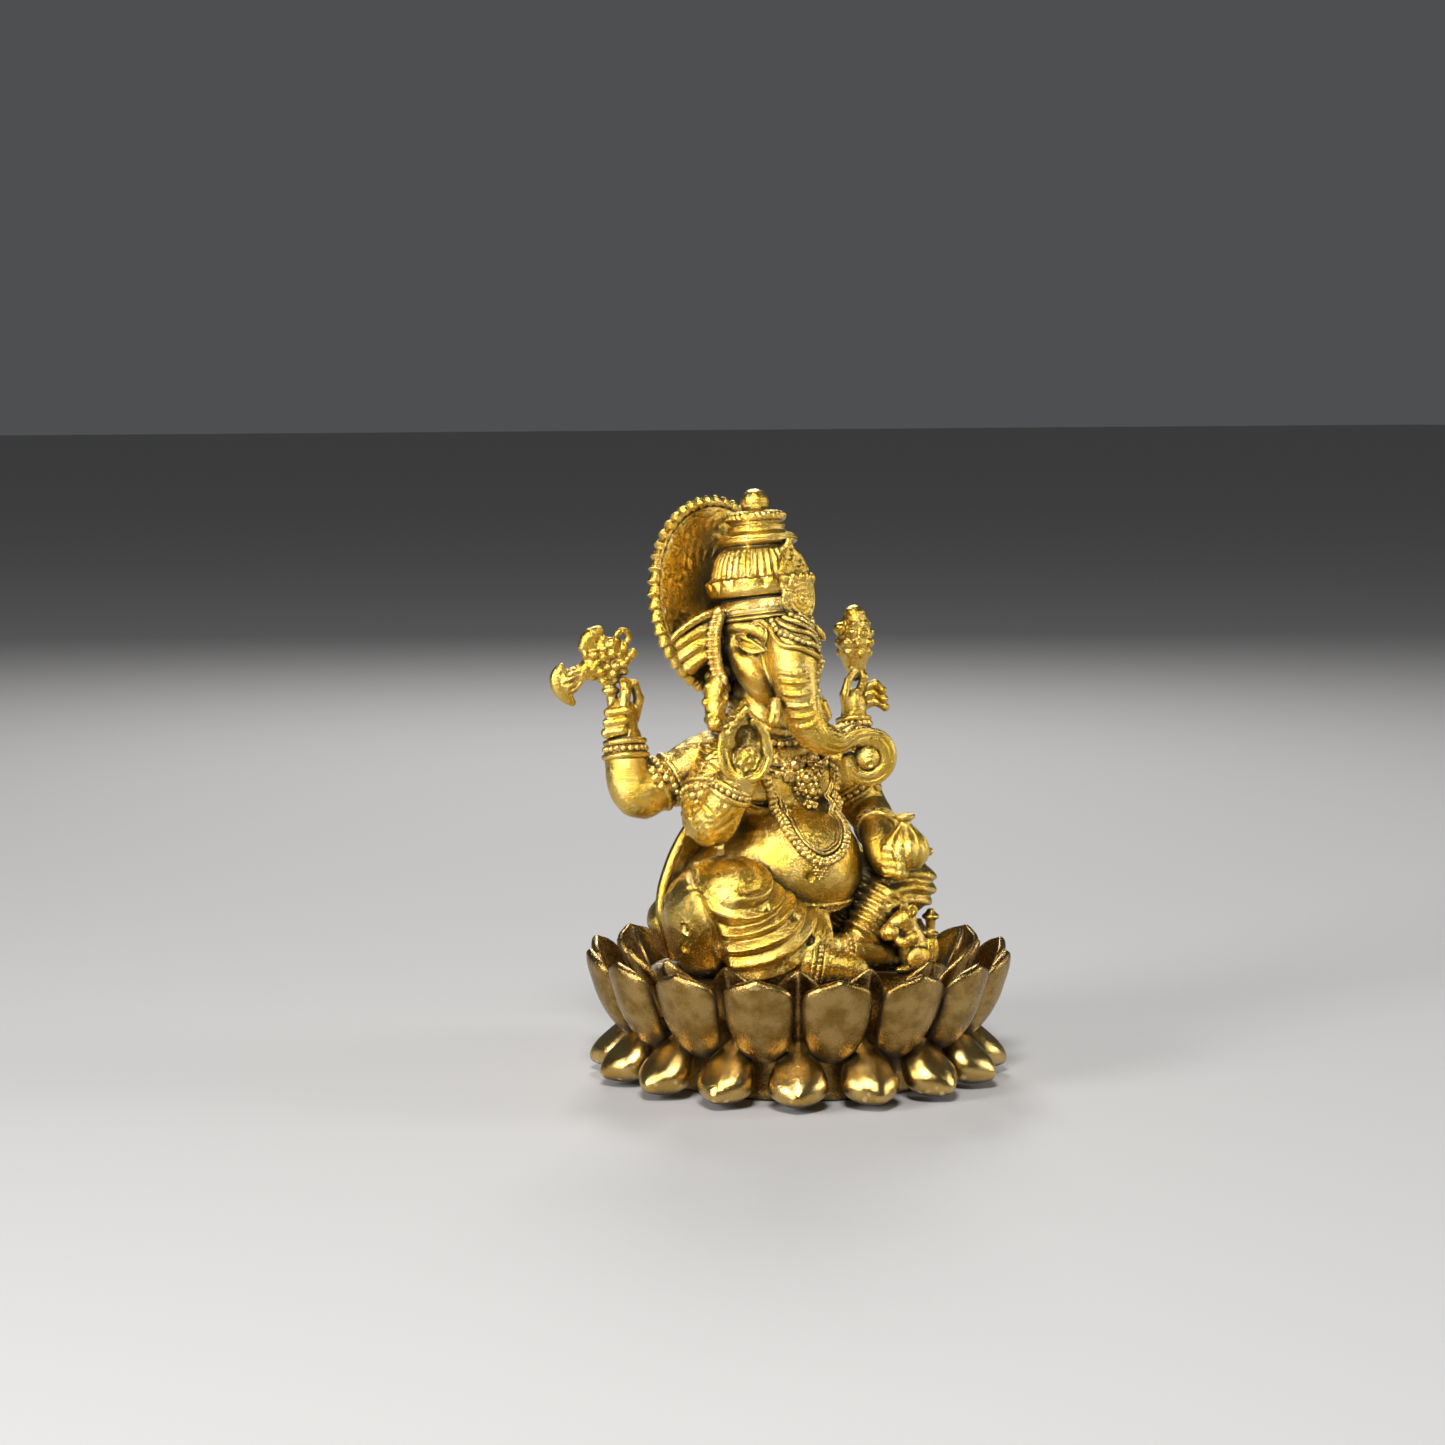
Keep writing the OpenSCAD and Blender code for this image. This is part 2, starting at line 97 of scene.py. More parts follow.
def curve_through(points, count):
    """A smooth curve through rows of numbers: places, and radii if they have a fourth column."""
    rows = np.array(points, float)
    rows = np.vstack([2 * rows[0] - rows[1], rows, 2 * rows[-1] - rows[-2]])
    out = []
    for s in np.linspace(0, len(rows) - 3, count):
        i = min(int(s), len(rows) - 4)
        t = s - i
        a, b, c, d = rows[i:i + 4]
        out.append(b + 0.5 * t * (c - a + t * (2 * a - 5 * b + 4 * c - d + t * (3 * (b - c) + d - a))))
    return np.array(out)


def placed(at, *rows):
    """Rows of x, y, z and radius with their places passed through at(x, y, z)."""
    return [(*at(x, y, z), r) for x, y, z, r in rows]


def sided(side, *rows):
    """Rows of x, y, z and radius for one side of the deity."""
    return [(side * x, y, z, r) for x, y, z, r in rows]


def evenly(points, spacing):
    """Places a fixed distance apart along a curve."""
    path = np.asarray(points, float)
    run = np.concatenate([[0], np.cumsum(np.linalg.norm(np.diff(path[:, :3], axis=0), axis=1))])
    count = max(2, int(round(run[-1] / spacing)) + 1)
    at = np.linspace(0, run[-1], count)
    return np.stack([np.interp(at, run, path[:, i]) for i in range(path.shape[1])], axis=1)


def path_frames(path):
    """Along, side and up directions at each place on a path, without twist."""
    along = np.gradient(path, axis=0)
    along /= np.linalg.norm(along, axis=1)[:, None]
    side = np.cross(along[0], [0, 0, 1])
    if np.linalg.norm(side) < 0.1:
        side = np.cross(along[0], [1, 0, 0])
    side = unit(side)
    sides = []
    for a in along:
        side = unit(side - a * (side @ a))
        sides.append(side)
    sides = np.array(sides)
    return along, sides, np.cross(along, sides)


# ---------- forms: each is (lowest corner, highest corner, distance) ----------

def ball(at, r):
    at = vec(*at)

    def distance(x, y, z):
        return np.sqrt((x - at[0]) ** 2 + (y - at[1]) ** 2 + (z - at[2]) ** 2) - r
    return at - r, at + r, distance


def egg(at, half, turn=None):
    """A rounded form with three half sizes, turned by a rotation matrix if one is given."""
    at, half = vec(*at), vec(*half)
    turn = np.eye(3) if turn is None else turn
    reach = np.abs(turn) @ half

    def distance(x, y, z):
        dx, dy, dz = x - at[0], y - at[1], z - at[2]
        local = [(turn[0, i] * dx + turn[1, i] * dy + turn[2, i] * dz) / half[i] for i in range(3)]
        k0 = np.sqrt(local[0] ** 2 + local[1] ** 2 + local[2] ** 2)
        k1 = np.sqrt(sum((local[i] / half[i]) ** 2 for i in range(3)))
        return k0 * (k0 - 1) / np.maximum(k1, 1e-6)
    return at - reach, at + reach, distance


def cone(a, b):
    """A round-ended rod between two rows of x, y, z and radius."""
    a, b = vec(*a), vec(*b)
    run = b[:3] - a[:3]
    length2 = max(float(run @ run), 1e-9)

    def distance(x, y, z):
        dx, dy, dz = x - a[0], y - a[1], z - a[2]
        t = np.clip((dx * run[0] + dy * run[1] + dz * run[2]) / length2, 0, 1)
        gap = np.sqrt((dx - t * run[0]) ** 2 + (dy - t * run[1]) ** 2 + (dz - t * run[2]) ** 2)
        return gap - (a[3] + t * (b[3] - a[3]))
    low = np.minimum(a[:3] - a[3], b[:3] - b[3])
    high = np.maximum(a[:3] + a[3], b[:3] + b[3])
    return low, high, distance


def ring(at, axis, r, wire):
    """A round wire bent into a circle about an axis."""
    at, axis = vec(*at), unit(axis)
    reach = r * np.sqrt(1 - axis ** 2) + wire

    def distance(x, y, z):
        dx, dy, dz = x - at[0], y - at[1], z - at[2]
        h = dx * axis[0] + dy * axis[1] + dz * axis[2]
        away = np.sqrt(np.maximum(dx * dx + dy * dy + dz * dz - h * h, 0)) - r
        return np.sqrt(away ** 2 + h ** 2) - wire
    return at - reach, at + reach, distance


def soft_min(a, b, soft):
    if soft <= 0:
        return np.minimum(a, b)
    h = np.clip(0.5 + 0.5 * (a - b) / soft, 0, 1)
    return a + (b - a) * h - soft * h * (1 - h)


class Clay:
    """A block of space holding the distance to the surface of what has been modelled in it."""

    def __init__(self, low, high, step=BODY_STEP):
        self.step = step
        self.low = vec(*low)
        counts = np.ceil((vec(*high) - self.low) / step).astype(int) + 1
        self.axis = [(self.low[i] + step * np.arange(counts[i])).astype(np.float32) for i in range(3)]
        self.field = np.full(counts, FAR, np.float32)

    def room(self, low, high):
        """The part of the block between two corners, and the places along its three axes."""
        ends = [np.searchsorted(self.axis[i], (low[i], high[i])) for i in range(3)]
        cut = tuple(slice(int(first), int(last)) for first, last in ends)
        x = self.axis[0][cut[0]][:, None, None]
        y = self.axis[1][cut[1]][None, :, None]
        z = self.axis[2][cut[2]][None, None, :]
        return cut, x, y, z

    def add(self, form, soft=0.25):
        """Joins a form on, with a fillet."""
        low, high, distance = form
        cut, x, y, z = self.room(low - soft - 0.6, high + soft + 0.6)
        if self.field[cut].size:
            self.field[cut] = soft_min(self.field[cut], distance(x, y, z), soft)

    def carve(self, form, soft=0.08):
        """Cuts a form away, with a rounded edge."""
        low, high, distance = form
        cut, x, y, z = self.room(low - soft - 0.3, high + soft + 0.3)
        if self.field[cut].size:
            self.field[cut] = -soft_min(-self.field[cut], distance(x, y, z), soft)

    def limb(self, points, count=0, soft=0.12):
        """A rod with a changing radius through rows of x, y, z and radius."""
        rows = curve_through(points, count) if count else np.array(points, float)
        for a, b in zip(rows[:-1], rows[1:]):
            self.add(cone(a, b), soft)

    def swell(self, height):
        """Moves the surface out by height(x, y, z), and in where that is negative."""
        cut, x, y, z = self.room(self.low - 1, self.low + self.step * np.array(self.field.shape) + 1)
        self.field[cut] -= height(x, y, z)

    def floor(self, level):
        """Cuts the form off flat at a height."""
        self.field[:] = np.maximum(self.field, level - self.axis[2][None, None, :])

    def sample(self, points):
        """The distance to the surface at some places."""
        g = (np.asarray(points, float) - self.low) / self.step
        top = np.array(self.field.shape) - 2
        i = np.clip(np.floor(g).astype(int), 0, top)
        f = np.clip(g - i, 0, 1)
        total = 0
        for dx in (0, 1):
            for dy in (0, 1):
                for dz in (0, 1):
                    w = np.abs(1 - dx - f[:, 0]) * np.abs(1 - dy - f[:, 1]) * np.abs(1 - dz - f[:, 2])
                    total = total + w * self.field[i[:, 0] + dx, i[:, 1] + dy, i[:, 2] + dz]
        return total

    def slope(self, points):
        """The outward direction at some places."""
        h = self.step * 1.5
        parts = []
        for i in range(3):
            shift = np.zeros(3)
            shift[i] = h
            parts.append(self.sample(points + shift) - self.sample(points - shift))
        g = np.stack(parts, axis=1)
        return g / np.maximum(np.linalg.norm(g, axis=1), 1e-6)[:, None]

    def settle(self, points, lift=0.0, rounds=12):
        """Moves places onto the surface, or a lift above it."""
        p = np.array(points, float)
        for _ in range(rounds):
            p -= self.slope(p) * np.clip(self.sample(p) - lift, -0.6, 0.6)[:, None]
        return p

    def surface(self):
        """The mesh of the modelled form."""
        grid = vdb.FloatGrid(background=FAR)
        grid.copyFromArray(self.field)
        grid.transform = vdb.createLinearTransform(voxelSize=self.step)
        points, quads = grid.convertToQuads(isovalue=0.0)
        return np.asarray(points, float) + self.low, np.asarray(quads, int)[:, ::-1]


# ---------- meshes in numpy ----------

def joined(parts):
    """Several meshes as one."""
    points, faces, start = [], [], 0
    for p, f in parts:
        points.append(p)
        faces.extend([tuple(int(i) + start for i in face) for face in f])
        start += len(p)
    return np.vstack(points), faces


def loft(loops, closed=False):
    """A skin over loops with the same number of points: its ends are closed, or meet if it is closed."""
    loops = np.asarray(loops, float)
    rows, sides = loops.shape[:2]
    points = loops.reshape(-1, 3)
    faces = []
    for i in range(rows if closed else rows - 1):
        for j in range(sides):
            k = (j + 1) % sides
            n = (i + 1) % rows
            faces.append((i * sides + j, i * sides + k, n * sides + k, n * sides + j))
    if not closed:
        points = np.vstack([points, loops[0].mean(0), loops[-1].mean(0)])
        first, last = rows * sides, rows * sides + 1
        for j in range(sides):
            k = (j + 1) % sides
            faces.append((first, k, j))
            faces.append((last, (rows - 1) * sides + j, (rows - 1) * sides + k))
    return points, faces


def rod(path, radius, sides=10, shape=None):
    """A tube along a path. radius is a number or one for each place; shape(angle, run) scales it."""
    path = np.asarray(path, float)[:, :3]
    _, side, up = path_frames(path)
    run = np.concatenate([[0], np.cumsum(np.linalg.norm(np.diff(path, axis=0), axis=1))])
    angle = round_angles(sides)
    radius = np.broadcast_to(radius, len(path))
    loops = []
    for i in range(len(path)):
        r = radius[i] * (shape(angle, run[i]) if shape else np.ones(sides))
        loops.append(round_loop(path[i], r[:, None], side[i], up[i], angle))
    return loft(loops)


def rope(path, r, lay=0.5, strands=2):
    """A twisted cord: lay is the length of one twist."""
    def twist(angle, run):
        return 0.82 + 0.24 * np.abs(np.cos(0.5 * strands * (angle - 2 * math.pi * run / lay)))
    return rod(evenly(path, r * 0.35), r, 12, twist)


def spun(profile, sides=96, shape=None):
    """Rows of radius and height spun round +Z. shape(angle, share of the rows, height) adds to radius."""
    rows = np.asarray(profile, float)
    angle = round_angles(sides)
    loops = []
    for i, (r, z) in enumerate(rows):
        radius = r + (shape(angle, i / (len(rows) - 1), z) if shape else 0)
        loops.append(np.stack([radius * np.cos(angle), radius * np.sin(angle), np.full(sides, z)], axis=1))
    return loft(loops)


def dot_mesh(rows=6, sides=9):
    """A small round bead with a radius of one."""
    t = round_angles(sides)
    loops = []
    for a in np.linspace(-math.pi / 2, math.pi / 2, rows + 2)[1:-1]:
        level = np.full(sides, np.sin(a))
        loops.append(np.stack([np.cos(a) * np.cos(t), np.cos(a) * np.sin(t), level], axis=1))
    points, faces = loft(loops)
    points[-2] = (0, 0, -1)
    points[-1] = (0, 0, 1)
    return points, faces


DOT = dot_mesh()


def beads(places, radii, squash=None):
    """A bead at each place. squash is one scale for each axis."""
    places = np.asarray(places, float)[:, :3]
    radii = np.broadcast_to(radii, len(places))
    shape = DOT[0] * (vec(*squash) if squash else 1)
    return joined([(shape * r + p, DOT[1]) for p, r in zip(places, radii)])


def smooth_profile(points, per_leg=5):
    """A smooth outline through points, for spun()."""
    return curve_through(points, per_leg * (len(points) - 1) + 1)


def shifted(mesh, origin=(0, 0, 0), turn=None):
    """A mesh turned by a rotation matrix and moved."""
    points, faces = mesh
    turn = np.eye(3) if turn is None else turn
    return (points @ turn.T) + vec(*origin), faces


def make(name, node, material, mesh):
    """A Blender object from a mesh in millimetres, on the CAD body and standing for a CAD node."""
    points, faces = mesh
    data = bpy.data.meshes.new(name)
    data.from_pydata((np.asarray(points) * MM).tolist(), [], [tuple(map(int, f)) for f in faces])
    data.polygons.foreach_set("use_smooth", [True] * len(data.polygons))
    data.materials.append(material)
    data.validate()
    data.update()
    piece = bpy.data.objects.new(name, data)
    bpy.context.scene.collection.objects.link(piece)
    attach(piece, "root")
    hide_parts(node)


# ---------- materials ----------

SHELTER_REACH = 0.0014       # metres: how far the ambient occlusion reaches for neighbours that darken a hollow, as painted shade over the metal's own dark oxide
GRAIN_DEPTH = 0.00008        # metres: the depth of the casting's grain


def metal(name, bright, body, hollow, rough, grain, patina_and_shade, speckle, worn=(0.54, 0.62)):
    """Cast metal: bright on worn edges, body colour on open faces, and dark in sheltered hollows.

    patina_and_shade is how sheltered a place is, by ambient occlusion and the sharpness of its edges, from
    all dark
    to fully open: that dark is partly the metal's own oxide and partly painted shade. worn is how sharp an
    edge is, from not rubbed to rubbed bright; on the lotus, where the edge thresholds are set lower, the
    bright petal rims are partly painted highlight. speckle and grain are the size of the casting's dark
    flecks and bumps.
    """
    material = bpy.data.materials.new(name)
    material.use_nodes = True
    nodes, links = material.node_tree.nodes, material.node_tree.links
    shader = nodes["Principled BSDF"]

    def node(kind, **values):
        made = nodes.new(kind)
        for key, value in values.items():
            setattr(made, key, value)
        return made

    def noise(scale, detail, roughness=0.6):
        made = node("ShaderNodeTexNoise")
        made.inputs["Scale"].default_value = scale
        made.inputs["Detail"].default_value = detail
        made.inputs["Roughness"].default_value = roughness
        links.new(place.outputs["Object"], made.inputs["Vector"])
        return made.outputs["Fac"]

    def maths(kind, a, b):
        made = node("ShaderNodeMath", operation=kind)
        for socket, value in zip(made.inputs, (a, b)):
            if isinstance(value, (int, float)):
                socket.default_value = value
            else:
                links.new(value, socket)
        return made.outputs[0]

    def total(first, *others):
        for other in others:
            first = maths("ADD", first, other)
        return first

    def swing(value, size):
        """A noise of 0 to 1 as a change of up to half of size either way."""
        return maths("MULTIPLY", maths("SUBTRACT", value, 0.5), size)

    def spread(value, low, high, to_low=0.0, to_high=1.0):
        made = node("ShaderNodeMapRange", interpolation_type="SMOOTHSTEP")
        ends = {"From Min": low, "From Max": high, "To Min": to_low, "To Max": to_high}
        for key, number in ends.items():
            made.inputs[key].default_value = number
        links.new(value, made.inputs["Value"])
        return made.outputs["Result"]

    def blend(share, a, b):
        made = node("ShaderNodeMix", data_type="RGBA")
        links.new(share, made.inputs["Factor"])
        for key, colour in (("A", a), ("B", b)):
            socket = [s for s in made.inputs if s.name == key and s.type == "RGBA"][0]
            if isinstance(colour, tuple):
                socket.default_value = (*colour, 1)
            else:
                links.new(colour, socket)
        return [s for s in made.outputs if s.type == "RGBA"][0]

    place = node("ShaderNodeTexCoord")
    edge = node("ShaderNodeNewGeometry").outputs["Pointiness"]
    near = node("ShaderNodeAmbientOcclusion", samples=6)
    near.inputs["Distance"].default_value = SHELTER_REACH
    cloud = noise(700, 5)
    fleck = noise(6500, 3, 0.7)
    # shelter is low in hollows and creases, where the base colour turns to the dark hollow colour and the
    # metal shine drops: painted shade over the metal's own dark oxide
    shelter = total(near.outputs["AO"], swing(cloud, 0.35), swing(edge, 3.0), swing(fleck, speckle))
    clean_and_lit = spread(shelter, *patina_and_shade)
    worn = spread(total(edge, swing(fleck, 0.10)), *worn, 0.0, 0.6)
    tint = blend(spread(cloud, 0.35, 0.65), body, tuple(0.7 * a + 0.3 * b for a, b in zip(body, bright)))
    links.new(blend(worn, blend(clean_and_lit, hollow, tint), bright), shader.inputs["Base Color"])
    links.new(spread(clean_and_lit, 0, 0.6, 0.1, 1.0), shader.inputs["Metallic"])
    dull = total(spread(clean_and_lit, 0, 1, rough + 0.25, rough), swing(fleck, 0.35))
    links.new(dull, shader.inputs["Roughness"])
    relief = total(maths("MULTIPLY", noise(9000, 3), 0.9), maths("MULTIPLY", noise(2600, 3), 0.4))
    bump = node("ShaderNodeBump")
    bump.inputs["Strength"].default_value = grain
    bump.inputs["Distance"].default_value = GRAIN_DEPTH
    links.new(relief, bump.inputs["Height"])
    links.new(bump.outputs["Normal"], shader.inputs["Normal"])
    return material


GOLD = metal("figure_brass", bright=(0.98, 0.79, 0.36), body=(0.74, 0.48, 0.06),
             hollow=(0.035, 0.022, 0.006), rough=0.22, grain=0.8, patina_and_shade=(0.38, 0.82), speckle=0.95)
# The lotus bronze: its dark body is partly the bronze's own tone and partly painted shade on petal faces
# that turn down from the lamps; its lower edge threshold brightens the petal rims, partly rubbed wear and
# partly painted highlight.
BRONZE = metal("lotus_bronze", bright=(0.88, 0.62, 0.25), body=(0.25, 0.145, 0.03),
               hollow=(0.025, 0.016, 0.007), rough=0.25, grain=0.5, patina_and_shade=(0.42, 0.86), speckle=0.5,
               worn=(0.525, 0.60))
# A lighter copy of the lotus bronze for the downturned petals. Its lighter body and weaker dark in the
# hollows are painted light, for petals that tilt up towards the lamps. Its lower roughness is their own
# gloss.
LIT_BRONZE = metal("lotus_bronze_lit", bright=(0.98, 0.76, 0.36), body=(0.52, 0.33, 0.08),
               hollow=(0.03, 0.02, 0.008), rough=0.18, grain=0.4, patina_and_shade=(0.18, 0.66), speckle=0.3,
               worn=(0.53, 0.62))


def gold(node, form, at=(0, 0, 0), turn=None):
    """A piece of the figure, from a mesh or from clay, moved out of its own frame if it has one."""
    mesh = form.surface() if isinstance(form, Clay) else form
    if turn is not None:
        mesh = shifted(mesh, at, turn)
    make(f"{node}_cast", node, GOLD, mesh)


def bronze(node, mesh, material=BRONZE):
    """A piece of the lotus."""
    make(f"{node}_cast", node, material, mesh)


# ---------- the lotus ----------

PETALS = 16
SEAT_Z = 7.0                 # the top of the seed pod
ON_SEAT = SEAT_Z + 0.02      # forms end a hair above it


def petal(spine, dished, keel=0.0, sides=26, rows=30):
    """One petal leaning out along +X, from spine rows: radius, height, half width, half thickness, cup."""
    spine = curve_through(spine, rows)
    angle = round_angles(sides)
    c, s = np.cos(angle), np.sin(angle)
    loops = []
    for (r, z, half, thick, cup), (run_r, run_z) in zip(spine, np.gradient(spine[:, :2], axis=0)):
        length = math.hypot(run_r, run_z)
        out_r, out_z = run_z / length, -run_r / length
        outer = thick * np.abs(s) ** 0.8 * (1 + keel * np.exp(-(c / 0.22) ** 2))
        inner = -thick * np.abs(s) ** 0.6 * (1 - dished * (1 - c * c))
        lift = np.where(s >= 0, outer, inner) - cup * c * c
        loops.append(np.stack([r + out_r * lift, half * c, z + out_z * lift], axis=1))
    return loft(loops)


def petal_row(mesh, phase, wobble):
    """The same petal all round, each a little different, as hand-made wax petals are."""
    parts = []
    for i in range(PETALS):
        points, faces = mesh
        size = 1 + wobble * chance.uniform(-1, 1)
        p = points.copy()
        p[:, 1] = p[:, 1] * size + wobble * chance.uniform(-1, 1) * (p[:, 2] - p[:, 2].min()) * 0.6
        parts.append((p @ turn_z((i + phase) * 360 / PETALS - 90).T, faces))
    return joined(parts)


OUTER = [(10.5, 3.0, 0.75, 0.35, 0.1), (11.5, 3.5, 1.45, 0.5, 0.3), (12.4, 4.5, 1.95, 0.55, 0.5),
         (13.1, 5.7, 2.2, 0.52, 0.6), (13.55, 6.9, 2.28, 0.48, 0.6), (13.8, 7.7, 2.12, 0.46, 0.45),
         (13.92, 8.22, 1.5, 0.42, 0.2), (14.0, 8.55, 0.62, 0.34, 0.04), (14.02, 8.75, 0.1, 0.14, 0)]
INNER = [(9.7, 4.6, 1.0, 0.35, 0.1), (10.3, 5.6, 1.45, 0.42, 0.35), (10.9, 6.8, 1.55, 0.42, 0.45),
         (11.4, 7.8, 1.25, 0.38, 0.3), (11.8, 8.6, 0.65, 0.3, 0.05), (12.05, 9.05, 0.12, 0.14, 0)]


def lower_petal():
    """One petal of the downturned row: a keeled drop with its tip out and its root tucked up."""
    clay = Clay((9.0, -2.6, -0.2), (14.2, 2.6, 5.0), COARSE_STEP)
    rows = curve_through([(9.9, 4.0, 0.45, 0.5), (10.7, 3.15, 1.15, 0.9), (11.5, 2.15, 1.72, 1.25),
                          (12.25, 1.5, 1.85, 1.2), (12.9, 1.25, 1.4, 0.9), (13.4, 1.2, 0.55, 0.45)], 16)
    for x, z, half, thick in rows:
        clay.add(egg((x, 0, z), (0.7, half, thick), turn_y(35)), 0.35)
    clay.limb([(10.3, 0, 4.1, 0.16), (11.4, 0, 3.15, 0.2), (12.5, 0, 2.35, 0.2),
               (13.3, 0, 1.6, 0.16)], 8, 0.5)
    clay.floor(0.12)
    return clay.surface()


def core_wave(angle, row, z):
    """Shallow scallops where the petals spring from the drum."""
    return 0.12 * np.cos(PETALS * angle) * ease(1.0, 3.0, z)


def build_lotus():
    """The pedestal: a drum, the seat on top of it, and three rows of petals."""
    drum = smooth_profile([(9.5, 0.02), (9.7, 0.2), (9.5, 1.0), (9.3, 2.4), (9.4, 3.4), (9.7, 4.6),
                           (9.75, 6.3)])
    outline = np.vstack([[(6.0, 0.0), (9.3, 0.0)], drum, [(9.0, 6.38), (4.0, 6.4)]])
    bronze("lotus_core", spun(outline, 192, core_wave))
    rim = [(2.0, 7.0)]
    for i in range(6):      # fine rings engraved round the seat
        r = 7.2 + 0.42 * i
        rim += [(r, 7.0), (r + 0.12, 6.93), (r + 0.24, 7.0)]
    rim += [(9.95, 6.98), (10.15, 6.85), (10.18, 6.6), (9.7, 6.42)]

    def notches(angle, row, z):
        return 0.04 * np.cos(96 * angle) * ease(0.5, 0.9, row)
    bronze("seed_pod", spun(rim, 384, notches))
    bronze("outer_petals", petal_row(petal(OUTER, 0.75), 0, 0.04))
    bronze("inner_petals", petal_row(petal(INNER, 0.7, keel=0.5), 0.5, 0.03))
    bronze("lower_petals", petal_row(lower_petal(), 0.5, 0.02), LIT_BRONZE)


# ---------- body ----------

def uneven(x, y, z):
    """The slight waviness of a surface that was shaped by hand in wax."""
    wide = np.sin(2.3 * x + 1.3 * np.sin(1.9 * y)) * np.sin(2.6 * z + 1.2 * np.sin(1.7 * x) + 0.8 * y)
    narrow = np.sin(5.3 * x + 2.0 * np.sin(3.1 * z)) * np.sin(4.7 * y + 3.9 * z)
    return 0.030 * wide + 0.014 * narrow


def hips_form():
    """The seat of the figure, with pleated cloth round its back."""
    clay = Clay((-10, -3.5, 6.6), (10, 9.6, 18), HIP_STEP)
    clay.add(egg((0, 3.4, 11.2), (7.6, 4.8, 5.3)), 0.1)
    for side in SIDES:
        clay.add(egg((side * 4.2, 5.0, 10.0), (4.1, 3.2, 3.3)), 1.0)

    def drape(x, y, z):
        """Cloth folds that fan out from the middle of the back."""
        fan = np.arctan2(z - 14.5, x + 0 * y)
        away = np.sqrt(x * x + (z - 14.5) ** 2)
        return 0.13 * np.cos(fan * 26) * ease(3.5, 5.5, y) * ease(1.5, 3.0, away)
    clay.swell(drape)
    clay.swell(uneven)
    clay.floor(ON_SEAT)
    return clay


def torso_form():
    """Belly, chest, shoulders and neck."""
    clay = Clay((-7.5, -4.6, 9.6), (7.5, 7.6, 26.6))
    clay.add(egg((0, 1.1, 13.9), (4.9, 4.9, 4.3)), 0.1)          # belly
    clay.add(egg((-0.2, 3.2, 19.2), (4.3, 2.9, 3.4)), 1.4)       # chest
    for side in SIDES:
        clay.add(egg((side * 1.95 - 0.2, 0.95, 19.3), (1.9, 1.2, 1.5)), 0.5)
        clay.add(ball((side * 4.5, 3.2, 21.1), 1.7), 0.8)
        clay.add(ring((side * 2.1 - 0.2, 0.9, 17.6), (0, 0.25, 1), 1.9, 0.05), 0.3)
    clay.limb([(-0.3, 3.6, 21.8, 2.4), (-0.4, 3.7, 25.6, 2.0)], soft=0.9)
    clay.swell(uneven)
    clay.carve(egg((-2.75, -0.1, 18.35), (1.25, 0.8, 0.2), turn_y(8)), 0.15)     # under the breast
    clay.carve(ball((-1.45, -3.6, 13.8), 0.32), 0.12)                            # navel
    clay.carve(cone((0, 6.9, 22.0, 0.25), (0, 6.6, 14.5, 0.2)), 0.5)             # spine
    return clay


FOLD_FOCUS = vec(-6.6, -3.0, 14.2)     # the cloth's swags hang round this place on the right knee
CAMERA_X, CAMERA_Y = 0.844, 0.536      # x * CAMERA_X - y * CAMERA_Y runs across the camera's view
PITS = [(-9.0, -1.0, 13.3), (-5.8, -4.9, 12.3), (-3.6, -4.9, 11.2), (-9.7, -0.9, 10.6),
        (-10.0, -0.4, 8.9), (-4.4, -5.6, 8.2), (-2.5, -5.0, 9.9), (-9.6, 2.6, 12.2), (-8.6, 4.8, 10.4)]


def right_leg_form():
    """The raised leg: thigh, knee and calf under cloth that hangs in swags."""
    clay = Clay((-12.2, -7.6, 6.6), (1.6, 7.5, 17.2))
    clay.limb([(-3.6, 2.8, 11.0, 3.8), (-6.4, 0.9, 11.2, 3.1), (-6.4, -1.9, 12.4, 2.75)], 6, 0.5)
    clay.add(egg((-7.1, 0.8, 10.1), (2.0, 3.0, 3.1)), 0.5)
    clay.add(egg((-4.9, -2.7, 10.0), (3.2, 3.0, 3.1)), 0.3)
    clay.limb([(-4.6, -2.5, 10.4, 2.9), (-2.4, -2.9, 9.6, 2.3)], soft=0.6)

    def swags(x, y, z):
        """Stepped folds in rings round the knee, down to a double hem, and a crease beside the shin."""
        away = np.sqrt((x - FOLD_FOCUS[0]) ** 2 + (y - FOLD_FOCUS[1]) ** 2 + (z - FOLD_FOCUS[2]) ** 2)
        level = x * CAMERA_X - y * CAMERA_Y
        across = level + 5.0 + 0.22 * (z - 8.4) + 0.3 * np.maximum(0, z - 11.0)
        step = (away - 1.5) / 0.94
        part = step - np.floor(step)
        rise = 0.64 * part ** 0.9 * ease(1.0, 0.76, part) - 0.18
        near = ease(1.3, 1.7, away) * ease(-4.6, -3.8, level) + ease(2.4, 2.9, away)
        inside = ease(0.0, 0.4, across) * np.minimum(near, 1) * ease(8.9, 8.4, away)
        hem = 0.30 * np.exp(-((away - 7.55) / 0.30) ** 2) + 0.16 * np.exp(-((away - 8.15) / 0.16) ** 2)
        crease = 0.30 * np.exp(-(across / 0.24) ** 2) * ease(2.4, 3.4, away) * ease(2.0, 0.5, y)
        return (rise * ease(7.25, 7.0, away) + hem) * inside - crease
    clay.swell(swags)
    clay.swell(uneven)
    for at in PITS:
        motif(clay, at)
    clay.floor(ON_SEAT)
    return clay


